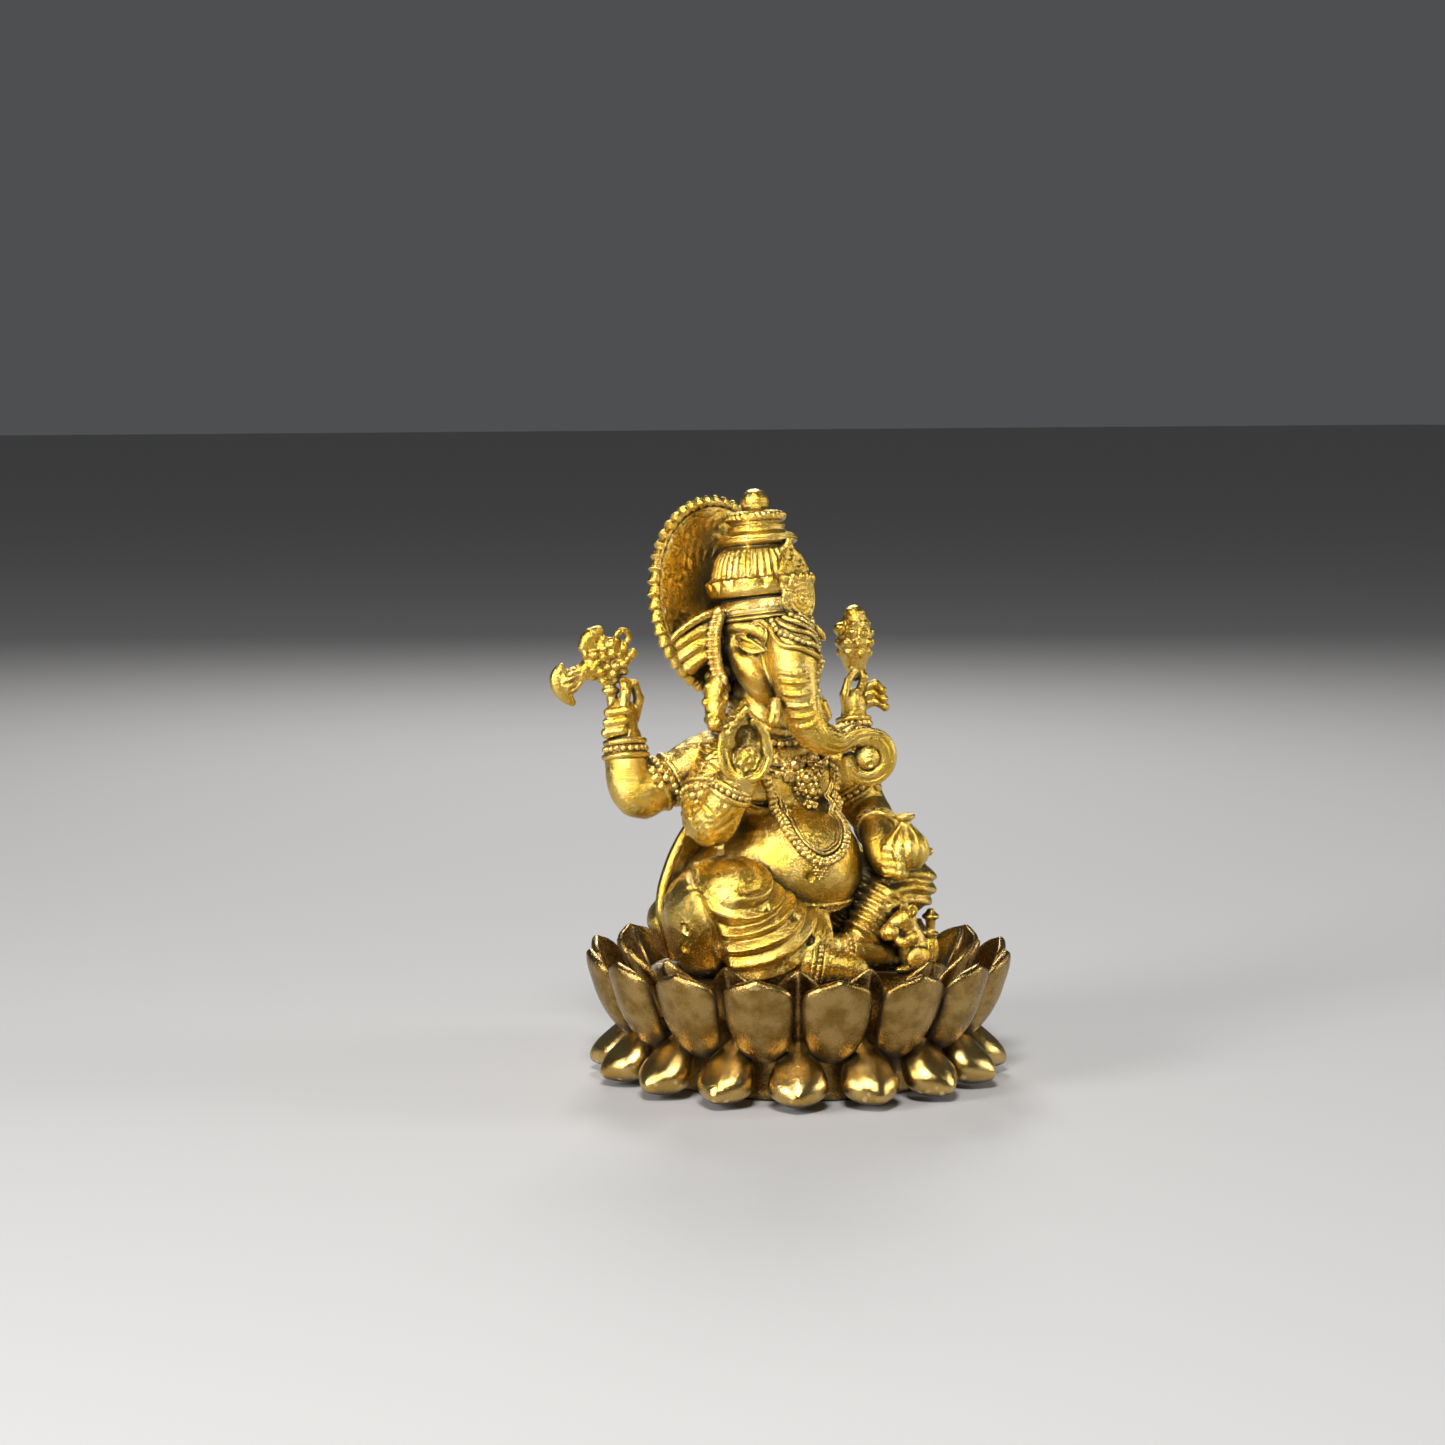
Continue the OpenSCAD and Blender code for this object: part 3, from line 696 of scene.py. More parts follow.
def motif(clay, at, size=1.0):
    """A worn flower pressed into the cloth: uneven pits that run together inside a faint round."""
    centre = clay.settle([at])[0]
    normal = clay.slope(centre[None])[0]
    side = unit(np.cross(normal, [0, 0, 1]))
    up = np.cross(side, normal)
    clay.add(ring(centre - normal * 0.04, normal, 0.5 * size, 0.05), 0.12)
    for i in range(5):
        a = math.radians(72 * i + 40 * math.sin(7 * centre[2]))
        reach = size * (0.26 + 0.08 * math.sin(3.0 * i + 5 * centre[0]))
        p = centre + reach * (math.cos(a) * side + 0.8 * math.sin(a) * up)
        clay.carve(ball(p, size * (0.17 + 0.06 * math.cos(2.2 * i + centre[2]))), 0.08)


def left_leg_form():
    """The folded leg that lies flat: thigh, knee and a shin that crosses in front."""
    clay = Clay((-0.6, -5.6, 6.6), (11.0, 5.6, 16.5))
    clay.limb([(3.2, 1.4, 10.6, 3.1), (5.6, 0.6, 11.6, 2.75), (7.6, -1.2, 12.3, 2.2)], 6, 0.4)
    clay.add(egg((7.4, 0.9, 9.6), (1.9, 2.6, 2.9)), 0.7)
    clay.limb([(6.4, -1.9, 12.5, 1.5), (4.9, -2.5, 11.4, 1.3), (3.7, -2.8, 10.0, 1.2),
               (2.8, -2.9, 9.1, 1.1)], 8, 0.25)

    def swags(x, y, z):
        """U-shaped bands hung under the knee, then rings down the shin."""
        sag = z + 0.12 * (x * CAMERA_X - y * CAMERA_Y - 7.3) ** 2
        step = (13.9 - sag) / 0.98
        band = (0.42 * np.abs(np.sin(math.pi * step)) - 0.1) * ease(14.0, 13.7, sag) * ease(10.9, 11.3, sag)
        band = band * ease(4.2, 5.0, x)
        band = band * ease(1.4, 0.4, y)
        run = (6.2 - x) * 0.66 + (12.6 - z) * 0.75
        count = run / 0.66
        shin = 0.36 * np.abs(np.sin(math.pi * count)) - 0.08
        shin = shin * ease(0.3, 0.6, run) * ease(4.9, 4.6, run) * ease(-0.6, -1.6, y)
        return np.maximum(band, shin * ease(6.6, 5.8, x)) - 0.04
    clay.swell(swags)
    clay.swell(uneven)
    for at in ((9.6, -0.4, 12.6), (9.2, 1.2, 10.6), (8.0, 2.6, 11.9), (8.9, 0.4, 8.6)):
        motif(clay, at)
    clay.floor(ON_SEAT)
    return clay


def foot_form(low, high, line, toe_way, toe_gap, heel):
    """A bare foot: a rod from the ankle, a heel, and five toes side by side."""
    clay = Clay(low, high, FACE_STEP)
    clay.limb(line, 6, 0.2)
    clay.add(ball(heel[:3], heel[3]), 0.4)
    tip, way, gap = vec(*line[-1][:3]), unit(toe_way), vec(*toe_gap)
    for i in range(5):
        r = 0.36 - 0.035 * i
        start = tip + gap * (i - 1.6) - way * 0.6
        clay.add(cone((*start, r), (*(start + way * (1.25 - 0.16 * i)), r * 0.9)), 0.10)
    clay.floor(ON_SEAT)
    return clay


# ---------- arms and what they hold ----------

ARMS = {
    "back_right_arm": [(-4.4, 4.0, 21.3, 1.75), (-7.2, 4.7, 19.9, 1.6), (-9.4, 5.0, 18.9, 1.55),
                       (-10.0, 5.5, 20.4, 1.45), (-10.0, 5.95, 22.6, 1.15)],
    "back_left_arm": [(4.4, 4.1, 21.3, 1.7), (6.8, 4.9, 19.8, 1.5), (8.3, 5.4, 18.9, 1.4),
                      (8.8, 6.0, 20.6, 1.25), (9.0, 6.6, 22.9, 0.95)],
    "front_right_arm": [(-4.5, 2.5, 20.8, 1.85), (-5.9, 1.8, 18.8, 1.75), (-6.4, 0.9, 17.4, 1.65),
                        (-6.2, -0.4, 18.8, 1.4), (-5.7, -1.2, 20.4, 1.1)],
    "front_left_arm": [(4.5, 2.7, 20.6, 1.75), (6.0, 2.5, 18.8, 1.6), (6.9, 2.0, 17.2, 1.45),
                       (6.5, 0.4, 16.5, 1.3), (5.5, -1.3, 16.0, 1.05)],
}


def granules(x, y, z):
    """Small cast lumps, as on embroidered cloth."""
    lumps = 0.11 * np.cos(8.1 * x + 2.0 * np.sin(3 * z)) * np.cos(8.7 * z + 1.5 * np.sin(4 * y))
    return lumps * np.cos(5.0 * y + 2.0 * x)


def arm_form(node):
    """An arm from shoulder to wrist. Cloth with a grain covers the one that blesses."""
    line = np.array(ARMS[node])
    low, high = line[:, :3].min(0) - 2.6, line[:, :3].max(0) + 2.6
    clay = Clay(low, high)
    clay.limb(ARMS[node], 14, 0.25)
    clay.swell(uneven)
    if node == "front_right_arm":
        clay.swell(granules)
    return clay


def finger(clay, points, r, soft=0.10):
    """A finger with slightly swollen joints through its knuckles."""
    rows = [(*p, r * (1.0 - 0.12 * i)) for i, p in enumerate(points)]
    for a, b in zip(rows[:-1], rows[1:]):
        clay.add(cone(a, b), soft)
    clay.add(ball(points[-1], r * 0.8), soft)


def blessing_hand():
    """The raised right hand: a palm with a rim and a flower, and fingers bent forward at the tips."""
    clay = Clay((-8.6, -5.2, 18.4), (-2.6, 1.2, 27.0), FACE_STEP)
    palm_way = turn_z(-24)       # the palm looks a little to the deity's right

    def at(x, y, z):
        return vec(-5.6, -2.0, 22.2) + palm_way @ vec(x, y, z)
    clay.add(egg(at(0.03, 0.4, -0.1), (1.62, 0.85, 1.95), palm_way), 0.1)
    clay.limb(placed(at, (-0.1, 0.6, -2.4, 0.95), (0, 0.5, -1.0, 1.0)), soft=0.5)
    clay.carve(egg(at(0.10, -0.75, 0.1), (1.36, 1.15, 1.75), palm_way), 0.12)
    rim = [(-1.50, 0.1, 0.9), (-1.62, -0.05, 0.1), (-1.5, -0.15, -0.8), (-0.95, -0.2, -1.6),
           (0.05, -0.2, -1.92), (1.05, -0.2, -1.55), (1.55, -0.15, -0.7), (1.66, -0.1, 0.2),
           (1.42, -0.1, 1.1)]
    clay.limb([(*at(x, y, z), 0.21) for x, y, z in rim], 26, 0.08)
    for x0, z0, x1, z1, x2, z2, r in ((0.05, 0.9, 0.08, 2.3, -0.05, 3.15, 0.40),
                                      (-0.42, 0.7, -0.48, 2.0, -0.45, 2.75, 0.40),
                                      (-0.88, 0.5, -0.98, 1.6, -0.9, 2.25, 0.38),
                                      (-1.3, 0.2, -1.38, 1.1, -1.22, 1.7, 0.34)):
        bent = at(x2 + 0.05, -0.75, z2 - 0.3)
        finger(clay, [at(x0, 0.25, z0), at(x1, 0.1, z1), at(x2, -0.35, z2), bent], r, 0.14)
    thumb = [at(1.5, 0.0, -0.1), at(1.32, -0.15, 1.15), at(0.85, -0.35, 1.9), at(0.5, -0.45, 2.1)]
    finger(clay, thumb, 0.34, 0.08)
    hollow = egg(at(0.15, -0.05, 0.95), (0.78, 0.75, 0.85), palm_way)       # over the flower
    clay.carve(hollow, 0.10)
    heart, facing = at(0.15, -0.32, -0.45), palm_way @ vec(0, 1, 0)

    def by_heart(x, y, z):
        return heart + palm_way @ vec(x, y, z)
    clay.add(egg(by_heart(0, 0.35, 0), (0.85, 0.45, 0.85), palm_way), 0.1)
    for i in range(6):
        a = math.radians(60 * i + 10)
        x, z = 0.55 * math.cos(a), 0.55 * math.sin(a)
        clay.add(ring(by_heart(x, 0.05, z), facing, 0.26, 0.085), 0.03)
        clay.carve(ball(by_heart(x, -0.08, z), 0.15), 0.04)
    clay.add(ring(by_heart(0, -0.1, 0), facing, 0.22, 0.09), 0.03)
    clay.carve(ball(by_heart(0, -0.2, 0), 0.14), 0.03)
    return clay


def back_right_hand():
    """The fist that holds the axe: knuckles stacked on the outside and the thumb up the inside."""
    clay = Clay((-13.0, 3.6, 22.4), (-7.6, 9.0, 28.2), FACE_STEP)
    clay.add(egg((-10.1, 6.2, 24.0), (1.05, 0.95, 1.4)), 0.1)
    clay.limb([(-10.0, 6.0, 22.9, 1.0), (-10.1, 6.2, 24.0, 0.9)], soft=0.3)
    for i in range(3):
        z = 23.0 + 0.66 * i
        knuckle, tip = (-11.6 + 0.12 * i, 5.6, z + 0.1), (-10.7 + 0.1 * i, 4.95, z + 0.3)
        finger(clay, [(-10.9, 6.4, z), knuckle, tip], 0.40, 0.06)
    finger(clay, [(-9.25, 6.0, 23.9), (-8.85, 6.0, 25.2), (-9.2, 6.0, 26.2), (-9.95, 6.2, 26.45)], 0.40)
    finger(clay, [(-10.3, 5.6, 24.9), (-10.1, 5.6, 25.7), (-10.0, 5.9, 26.2)], 0.42)
    return clay


def back_left_hand():
    """The hand that holds the bud: curled fingers on the outside, thumb on the inside."""
    clay = Clay((6.6, 4.0, 22.4), (12.4, 9.2, 27.6), FACE_STEP)
    clay.add(egg((9.15, 6.7, 23.9), (0.85, 0.75, 1.15)), 0.1)
    clay.limb([(9.0, 6.6, 22.9, 0.9), (9.1, 6.7, 23.9, 0.8)], soft=0.3)
    finger(clay, [(8.4, 6.5, 23.4), (8.0, 6.3, 24.6), (8.35, 6.3, 25.6), (9.0, 6.5, 26.2)], 0.36)
    for i in range(3):
        z = 23.7 + 0.6 * i
        finger(clay, [(9.7, 6.7, z), (10.6, 6.2, z + 0.35), (10.95 - 0.12 * i, 5.5, z - 0.05)], 0.36)
    finger(clay, [(9.5, 6.4, 25.0), (9.7, 6.3, 25.8), (9.4, 6.6, 26.3)], 0.34)
    return clay


def front_left_hand():
    """The hand under the sweet pot: palm below and fingers up round its near side."""
    clay = Clay((2.6, -6.8, 12.6), (9.6, 0.4, 18.0), FACE_STEP)
    clay.limb([(5.4, -1.5, 16.0, 1.05), (4.9, -2.5, 15.2, 1.05), (4.9, -3.4, 14.4, 0.9),
               (5.5, -3.9, 13.7, 0.7)], 8, 0.3)
    for i in range(4):
        z = 13.75 + 0.52 * i
        finger(clay, [(4.7, -2.8, z + 0.1), (4.5, -3.9, z), (4.95, -4.9, z - 0.05)], 0.40, 0.22)
    finger(clay, [(6.2, -2.4, 14.4), (7.4, -3.2, 14.5), (7.7, -4.3, 14.9)], 0.33)
    return clay


def axe_form():
    """A battle axe: a cupped flower disc, a fan blade on the outside, and lobes round it."""
    clay = Clay((-16.2, 4.8, 24.2), (-7.4, 9.0, 31.0), FACE_STEP)
    facing = turn_z(-14)

    def at(x, y, z):
        return vec(-10.9, 6.9, 27.85) + facing @ vec(x, y, z)
    out = facing @ vec(0, 1, 0)
    clay.add(egg(at(0, 0, 0), (1.6, 0.62, 1.55), facing), 0.05)
    clay.carve(egg(at(0, -0.8, 0), (1.3, 0.42, 1.25), facing), 0.08)
    for i in range(11):
        a = 2 * math.pi * i / 11
        clay.add(ball(at(1.5 * math.cos(a), -0.25, 1.45 * math.sin(a)), 0.27), 0.16)
    for i in range(14):
        a, reach = 2.4 * i, 0.33 * math.sqrt(i)
        r = 0.30 - 0.05 * math.cos(3.1 * i)
        clay.add(ball(at(reach * math.cos(a), -0.42, reach * math.sin(a)), r), 0.05)
    clay.limb(placed(at, (-1.5, 0, 0.9, 0.40), (-1.1, 0, 1.55, 0.52), (-0.5, 0, 1.95, 0.38)), 6, 0.1)
    clay.add(ring(at(1.2, 0, 1.5), out, 0.42, 0.22), 0.12)
    clay.add(ball(at(1.85, -0.1, 0.4), 0.36), 0.12)
    clay.limb(placed(at, (-1.1, 0, -0.5, 0.55), (-2.0, 0, -1.0, 0.6), (-2.5, 0, -1.4, 0.85)), 6, 0.2)
    clay.limb(placed(at, (-3.05, 0, -0.35, 0.22), (-3.4, 0, -1.1, 0.34), (-3.15, 0, -2.0, 0.36),
                     (-2.3, 0, -2.8, 0.24)), 10, 0.3)
    for i in range(3):
        groove = placed(at, (-3.3 + 0.25 * i, -0.75, -0.9 - 0.6 * i, 0.14),
                        (-1.9, -0.62, -0.8 - 0.25 * i, 0.12))
        clay.carve(cone(*groove), 0.06)
    clay.limb(placed(at, (0.1, 0, -1.4, 0.5), (0.35, -0.1, -1.95, 0.34), (0.45, -0.3, -3.2, 0.42)), 6, 0.1)
    clay.add(egg(at(0.3, -0.25, -2.05), (0.62, 0.5, 0.34), facing), 0.1)
    return clay


def bud_form():
    """A lotus bud bound with cord: a knotted head over a narrow neck."""
    clay = Clay((7.0, 4.8, 25.2), (11.6, 9.0, 31.6), FACE_STEP)
    x, y = 9.3, 6.9
    clay.limb([(x, y, 25.9, 0.45), (x, y, 26.6, 0.62), (x, y, 27.4, 1.0), (x, y, 28.6, 1.12),
               (x, y, 29.6, 0.9),
               (x, y, 30.2, 0.62)], 12, 0.2)
    clay.add(egg((x - 0.1, y, 30.3), (0.72, 0.66, 0.42)), 0.12)
    rounds = ((27.5, 0.98, 7), (28.2, 1.12, 8), (28.9, 1.05, 8), (29.5, 0.82, 7))
    for row, (level, reach, count) in enumerate(rounds):
        for i in range(count):
            a = 2 * math.pi * (i + 0.5 * row) / count
            clay.add(ball((x + reach * math.cos(a), y + reach * math.sin(a), level), 0.33), 0.08)
    for side in SIDES:
        clay.add(ball((x + side * 0.42, y - 0.3, 26.45), 0.34), 0.05)
    clay.add(ball((x - 1.35, y - 0.1, 29.2), 0.45), 0.12)
    clay.add(ball((x - 1.0, y - 0.1, 28.0), 0.4), 0.12)
    return clay


POT_AT = (5.9, -3.95, 13.8)


def pot_mesh():
    """A gourd-shaped sweet pot with ribs that gather into a collared mouth."""
    outline = smooth_profile([(0.5, 0.0), (1.05, 0.12), (1.5, 0.7), (1.62, 1.35), (1.38, 2.05),
                              (0.88, 2.6), (0.52, 3.0), (0.42, 3.25), (0.62, 3.42), (0.70, 3.58),
                              (0.62, 3.72), (0.35, 3.74)], 6)

    def ribs(angle, row, z):
        return 0.16 * (np.abs(np.cos(5 * angle)) - 0.6) * ease(0.1, 0.6, z) * ease(3.1, 2.6, z)
    return shifted(spun(outline, 144, ribs), POT_AT)


# ---------- head, in its own frame: the face looks along -Y ----------

HEAD_AT = vec(-0.5, 3.6, 28.7)
HEAD_TURN = turn_z(16) @ turn_y(2.5) @ turn_x(-7.7)


def from_head(*p):
    """A place in the head's frame, in the CAD frame."""
    return HEAD_AT + HEAD_TURN @ vec(*p)


def to_head(*p):
    """A place in the CAD frame, in the head's frame."""
    return HEAD_TURN.T @ (vec(*p) - HEAD_AT)


CHEEK = [(1.75, 0.4, -0.3, 1.05), (1.7, -0.35, -1.7, 1.1), (1.35, -0.85, -3.0, 0.9),
         (1.15, -1.0, -3.5, 0.6)]
CHEEKBONE = [(2.55, 0.05, -0.6, 0.35), (2.5, -0.75, -1.7, 0.4), (2.0, -1.35, -2.7, 0.35)]
TRUNK_ROOT = [(0, -1.6, 1.6, 1.6), (0, -2.1, 0.4, 1.6), (-0.1, -2.6, -1.2, 1.55)]
BESIDE_ROOT = [(1.0, -1.75, 0.6, 0.95), (1.05, -2.15, -0.9, 0.9), (0.95, -2.1, -2.4, 0.75)]
UPPER_LID = [(2.42, 0.35, 0.42, 0.10), (2.72, -0.5, 0.50, 0.15), (2.52, -1.25, 0.05, 0.14),
             (2.15, -1.95, -0.55, 0.10)]
LOWER_LID = [(2.42, 0.35, 0.38, 0.09), (2.62, -0.45, -0.30, 0.12), (2.45, -1.2, -0.62, 0.12),
             (2.15, -1.95, -0.58, 0.09)]
BROW = [(2.45, 1.1, 1.0, 0.22), (2.6, 0.0, 1.25, 0.30), (2.35, -1.3, 0.95, 0.32), (1.85, -2.2, 0.25, 0.26)]


def head_form():
    """The skull with its domed forehead, cheeks, jaw and eyes, and the root of the trunk."""
    clay = Clay((-4.6, -5.2, -5.4), (4.6, 4.6, 4.4), FACE_STEP)
    clay.add(egg((0, 0.2, 0.4), (2.7, 3.1, 3.1)), 0.1)
    for side in SIDES:
        clay.add(egg((side * 1.0, -1.35, 1.6), (1.45, 1.6, 1.7)), 0.5)                      # forehead
        clay.limb(sided(side, *CHEEK), 8, 0.40)
        clay.limb(sided(side, *CHEEKBONE), 10, 0.35)
    clay.limb(TRUNK_ROOT, 8, 0.5)
    clay.add(egg((0, -1.1, -3.1), (0.8, 1.0, 0.8)), 0.4)                                    # jaw
    for side in SIDES:
        clay.limb(sided(side, *BESIDE_ROOT), 8, 0.3)
    for side in SIDES:
        clay.carve(egg((side * 2.75, -0.85, -0.1), (0.62, 1.15, 0.62), turn_x(18)), 0.25)   # socket
        clay.add(egg((side * 2.18, -0.8, -0.05), (0.5, 0.92, 0.42), turn_x(22)), 0.06)      # eyeball
        clay.limb(sided(side, *UPPER_LID), 12, 0.08)
        clay.limb(sided(side, *LOWER_LID), 12, 0.08)
        clay.limb(sided(side, *BROW), 14, 0.30)
        clay.add(ring((side * 2.62, -0.82, -0.06), (1, 0, 0), 0.2, 0.05), 0.02)             # iris
    return clay


def ear_form(side):
    """A leaf of an ear: a thick rolled rim along its top, and pleats that fan out under it."""
    clay = Clay((-9.2, -4.4, -5.2), (9.2, 5.6, 4.6), FACE_STEP)
    root = vec(side * 2.5, 1.2, 0.2)
    out = unit((-1, 0.62, 0)) if side < 0 else unit((1, -0.32, 0))
    flat = np.cross(out, (0, 0, 1)) * side      # towards the front of the head

    def place(u, v, w, r):
        return (*(root + out * u + vec(0, 0, v) + flat * w), r)
    for start, middle, end, r in (((1.0, 1.0), (2.2, 0.62), (3.45, -0.1), 0.34),
                                  ((0.9, 0.15), (2.1, -0.25), (3.2, -0.9), 0.36),
                                  ((0.8, -0.6), (1.7, -0.95), (2.65, -1.55), 0.34)):      # pleats
        clay.limb([place(*start, -0.05, r * 0.8), place(*middle, -0.08, r),
                   place(*end, 0.0, r * 0.7)], 10, 0.16)
    for (u0, v0), (u1, v1) in (((0.7, 1.5), (3.6, 0.2)), ((0.7, 0.6), (3.5, -0.7)),
                               ((0.7, -0.5), (2.9, -1.5)), ((0.8, 1.2), (2.4, -1.7))):    # the leaf
        clay.limb([place(u0, v0, -0.35, 0.40), place(0.5 * (u0 + u1), 0.5 * (v0 + v1), -0.42, 0.44),
                   place(u1, v1, -0.3, 0.30)], 8, 0.3)
    rim = [(0.5, 2.05, 0.1, 0.30), (1.2, 1.95, 0.2, 0.32), (2.1, 1.6, 0.26, 0.30),
           (3.0, 1.05, 0.26, 0.27), (3.75, 0.45, 0.2, 0.23), (4.0, 0.05, 0.1, 0.18)]
    clay.limb([place(*row) for row in rim], 16, 0.06)
    return clay


# the trunk: rows of x, y, z and radius, from the brow to the start of the curl
TRUNK = [(-0.41, 0.9, 29.9, 1.45), (-0.48, 0.35, 28.85, 1.6), (-0.51, -0.05, 27.74, 1.6),
         (-0.5, -0.4, 26.3, 1.5), (-0.31, -0.7, 24.85, 1.32), (0.02, -1.0, 23.64, 1.22),
         (0.68, -1.4, 22.8, 1.12), (1.65, -1.75, 22.55, 0.98), (2.9, -2.0, 22.8, 0.80)]
SWEET_AT, SWEET_R = vec(4.09, -2.1, 21.29), 0.92
CURL_R = 1.25
CURL_OUT = unit((0.93, -0.37, 0))


def curl_line():
    """The end of the trunk, wound clockwise round the sweet."""
    rows = []
    for share in np.linspace(0, 1, 16):
        a = math.radians(112 - 290 * share)
        p = SWEET_AT + CURL_R * (math.cos(a) * CURL_OUT + vec(0, 0, math.sin(a)))
        rows.append((*p, 0.68 - 0.2 * share))
    return rows


def trunk_line():
    """The whole trunk, from the brow to the end of the curl: rows of x, y, z and radius."""
    return curve_through(TRUNK + curl_line()[1::2], 96)


def trunk_back(line):
    """Which way the trunk's back faces at each place, and which way the trunk runs there.

    The back faces forwards at the brow and outwards on the curl.
    """
    along = np.gradient(line[:, :3], axis=0)
    along /= np.linalg.norm(along, axis=1)[:, None]
    face = HEAD_TURN @ vec(0.15, -1, 0)
    curl = np.array([unit(p[:3] - SWEET_AT + vec(0, -0.35, 0)) for p in line])
    share = ease(0.42, 0.62, np.linspace(0, 1, len(line)))[:, None]
    back = (1 - share) * face + share * curl
    back -= along * np.sum(back * along, axis=1)[:, None]
    return back / np.linalg.norm(back, axis=1)[:, None], along


def trunk_form():
    """The trunk, with wrinkles at its root and a ribbon of raised lines down its back."""
    clay = Clay((-2.2, -5.0, 18.6), (7.6, 3.2, 30.4), FACE_STEP)
    line = trunk_line()
    back, along = trunk_back(line)
    side = np.cross(along, back)

    def skin(i, angle, share=1.0):
        """A place on the skin, or at a share of its radius, at an angle from the middle of the back."""
        out = math.cos(angle) * back[i] + math.sin(angle) * side[i]
        return line[i, :3] + line[i, 3] * share * out
    for a, b in zip(line[:-1], line[1:]):
        clay.add(cone(a, b), 0.05)
    for i in range(6):            # wrinkles across the root, beside the ribbon
        row = 15 + int(2.8 * i)
        for way in SIDES:
            arc = [skin(row, way * t) + along[row] * 0.25 * math.sin(2 * t)
                   for t in np.radians(np.linspace(24, 95, 6))]
            clay.limb([(*q, 0.14) for q in arc], soft=0.08)
    fade = ease(1.0, 0.9, np.linspace(0, 1, len(line)))
    for shift, wire in ((-0.42, 0.10), (0.42, 0.10), (0.0, 0.2)):      # the ribbon
        path = [(*skin(i, shift, 0.97), wire * max(0.4, fade[i])) for i in range(22, len(line))]
        clay.limb(path, soft=0.06)
    for shift in (-0.80, 0.80):                                        # a groove on each side of it
        path = [(*skin(i, shift, 1.04), 0.09) for i in range(34, len(line) - 4)]
        for a, b in zip(path[:-1], path[1:]):
            clay.carve(cone(a, b), 0.08)
    return clay


def tusk_mesh(side, length):
    """A short tusk with a band round it and a rounded end."""
    root, tip = to_head(-2.1, -0.4, 25.3), to_head(-2.75, -0.95, 25.05 - length)
    mirror = vec(-side if side < 0 else -0.72, 1, 1)
    root, tip = from_head(*(root * mirror)), from_head(*(tip * mirror))
    middle = 0.5 * (root + tip) + vec(0, -0.08, 0)
    line = curve_through([(*root, 0.40), (*middle, 0.44), (*tip, 0.42)], 12)
    cap = [(*(tip + unit(tip - root) * d), math.sqrt(max(0.42 ** 2 - d * d, 0.0004)))
           for d in (0.12, 0.24, 0.33, 0.41)]
    rows = np.vstack([line, cap])

    def band(angle, run):
        return np.full(len(angle), 1.0 + (0.14 if 0.35 < run < 0.6 else 0.0))
    return rod(rows, rows[:, 3], 20, band)


# ---------- crown and halo ----------

def crown_mesh():
    """A tall crown: a scalloped brim, a fluted cup and three rings that step in to the top."""
    outline = smooth_profile([(2.4, 3.1), (3.25, 3.15), (3.5, 3.3), (3.62, 3.6), (3.6, 4.0), (3.5, 4.3),
                              (3.28, 4.45), (3.2, 4.9), (2.98, 5.6), (2.62, 6.25), (2.36, 6.42),
                              (2.3, 6.55), (2.5, 6.66), (2.7, 6.82), (2.74, 7.05), (2.66, 7.25),
                              (2.3, 7.38), (2.02, 7.5), (1.94, 7.75), (1.97, 7.95), (1.82, 8.08),
                              (1.84, 8.2), (2.02, 8.35), (2.05, 8.6), (1.92, 8.82), (1.5, 8.95),
                              (0.8, 9.02)], 5)

    def relief(angle, row, z):
        saw = np.abs(((20 * angle / math.pi) % 2) - 1)
        scallop = 0.34 * (saw - 0.4) * np.exp(-((z - 3.95 - 0.3 * saw) / 0.30) ** 2)
        flutes = 0.13 * (np.abs(np.cos(20 * angle)) - 0.45) * ease(4.3, 4.6, z) * ease(6.4, 6.15, z)
        lines = -0.05 * np.exp(-((z - 6.95) / 0.045) ** 2) - 0.05 * np.exp(-((z - 7.15) / 0.045) ** 2)
        pebble = 0.05 * np.cos(31 * angle + 9 * z) * np.exp(-((z - 8.6) / 0.2) ** 2)
        return scallop + flutes + lines + pebble
    return shifted(spun(outline, 320, relief), (0.15, 0, 0))


def finial_mesh():
    """The knob on top of the crown."""
    outline = smooth_profile([(0.9, 8.8), (1.18, 8.92), (1.05, 9.1), (0.92, 9.3), (0.96, 9.6),
                              (0.88, 9.95), (0.64, 10.28), (0.3, 10.47), (0.08, 10.52)], 6)
    return shifted(spun(outline, 64, lambda a, row, z: 0.02 * np.cos(9 * a + 4 * z)), (0.15, 0, 0))


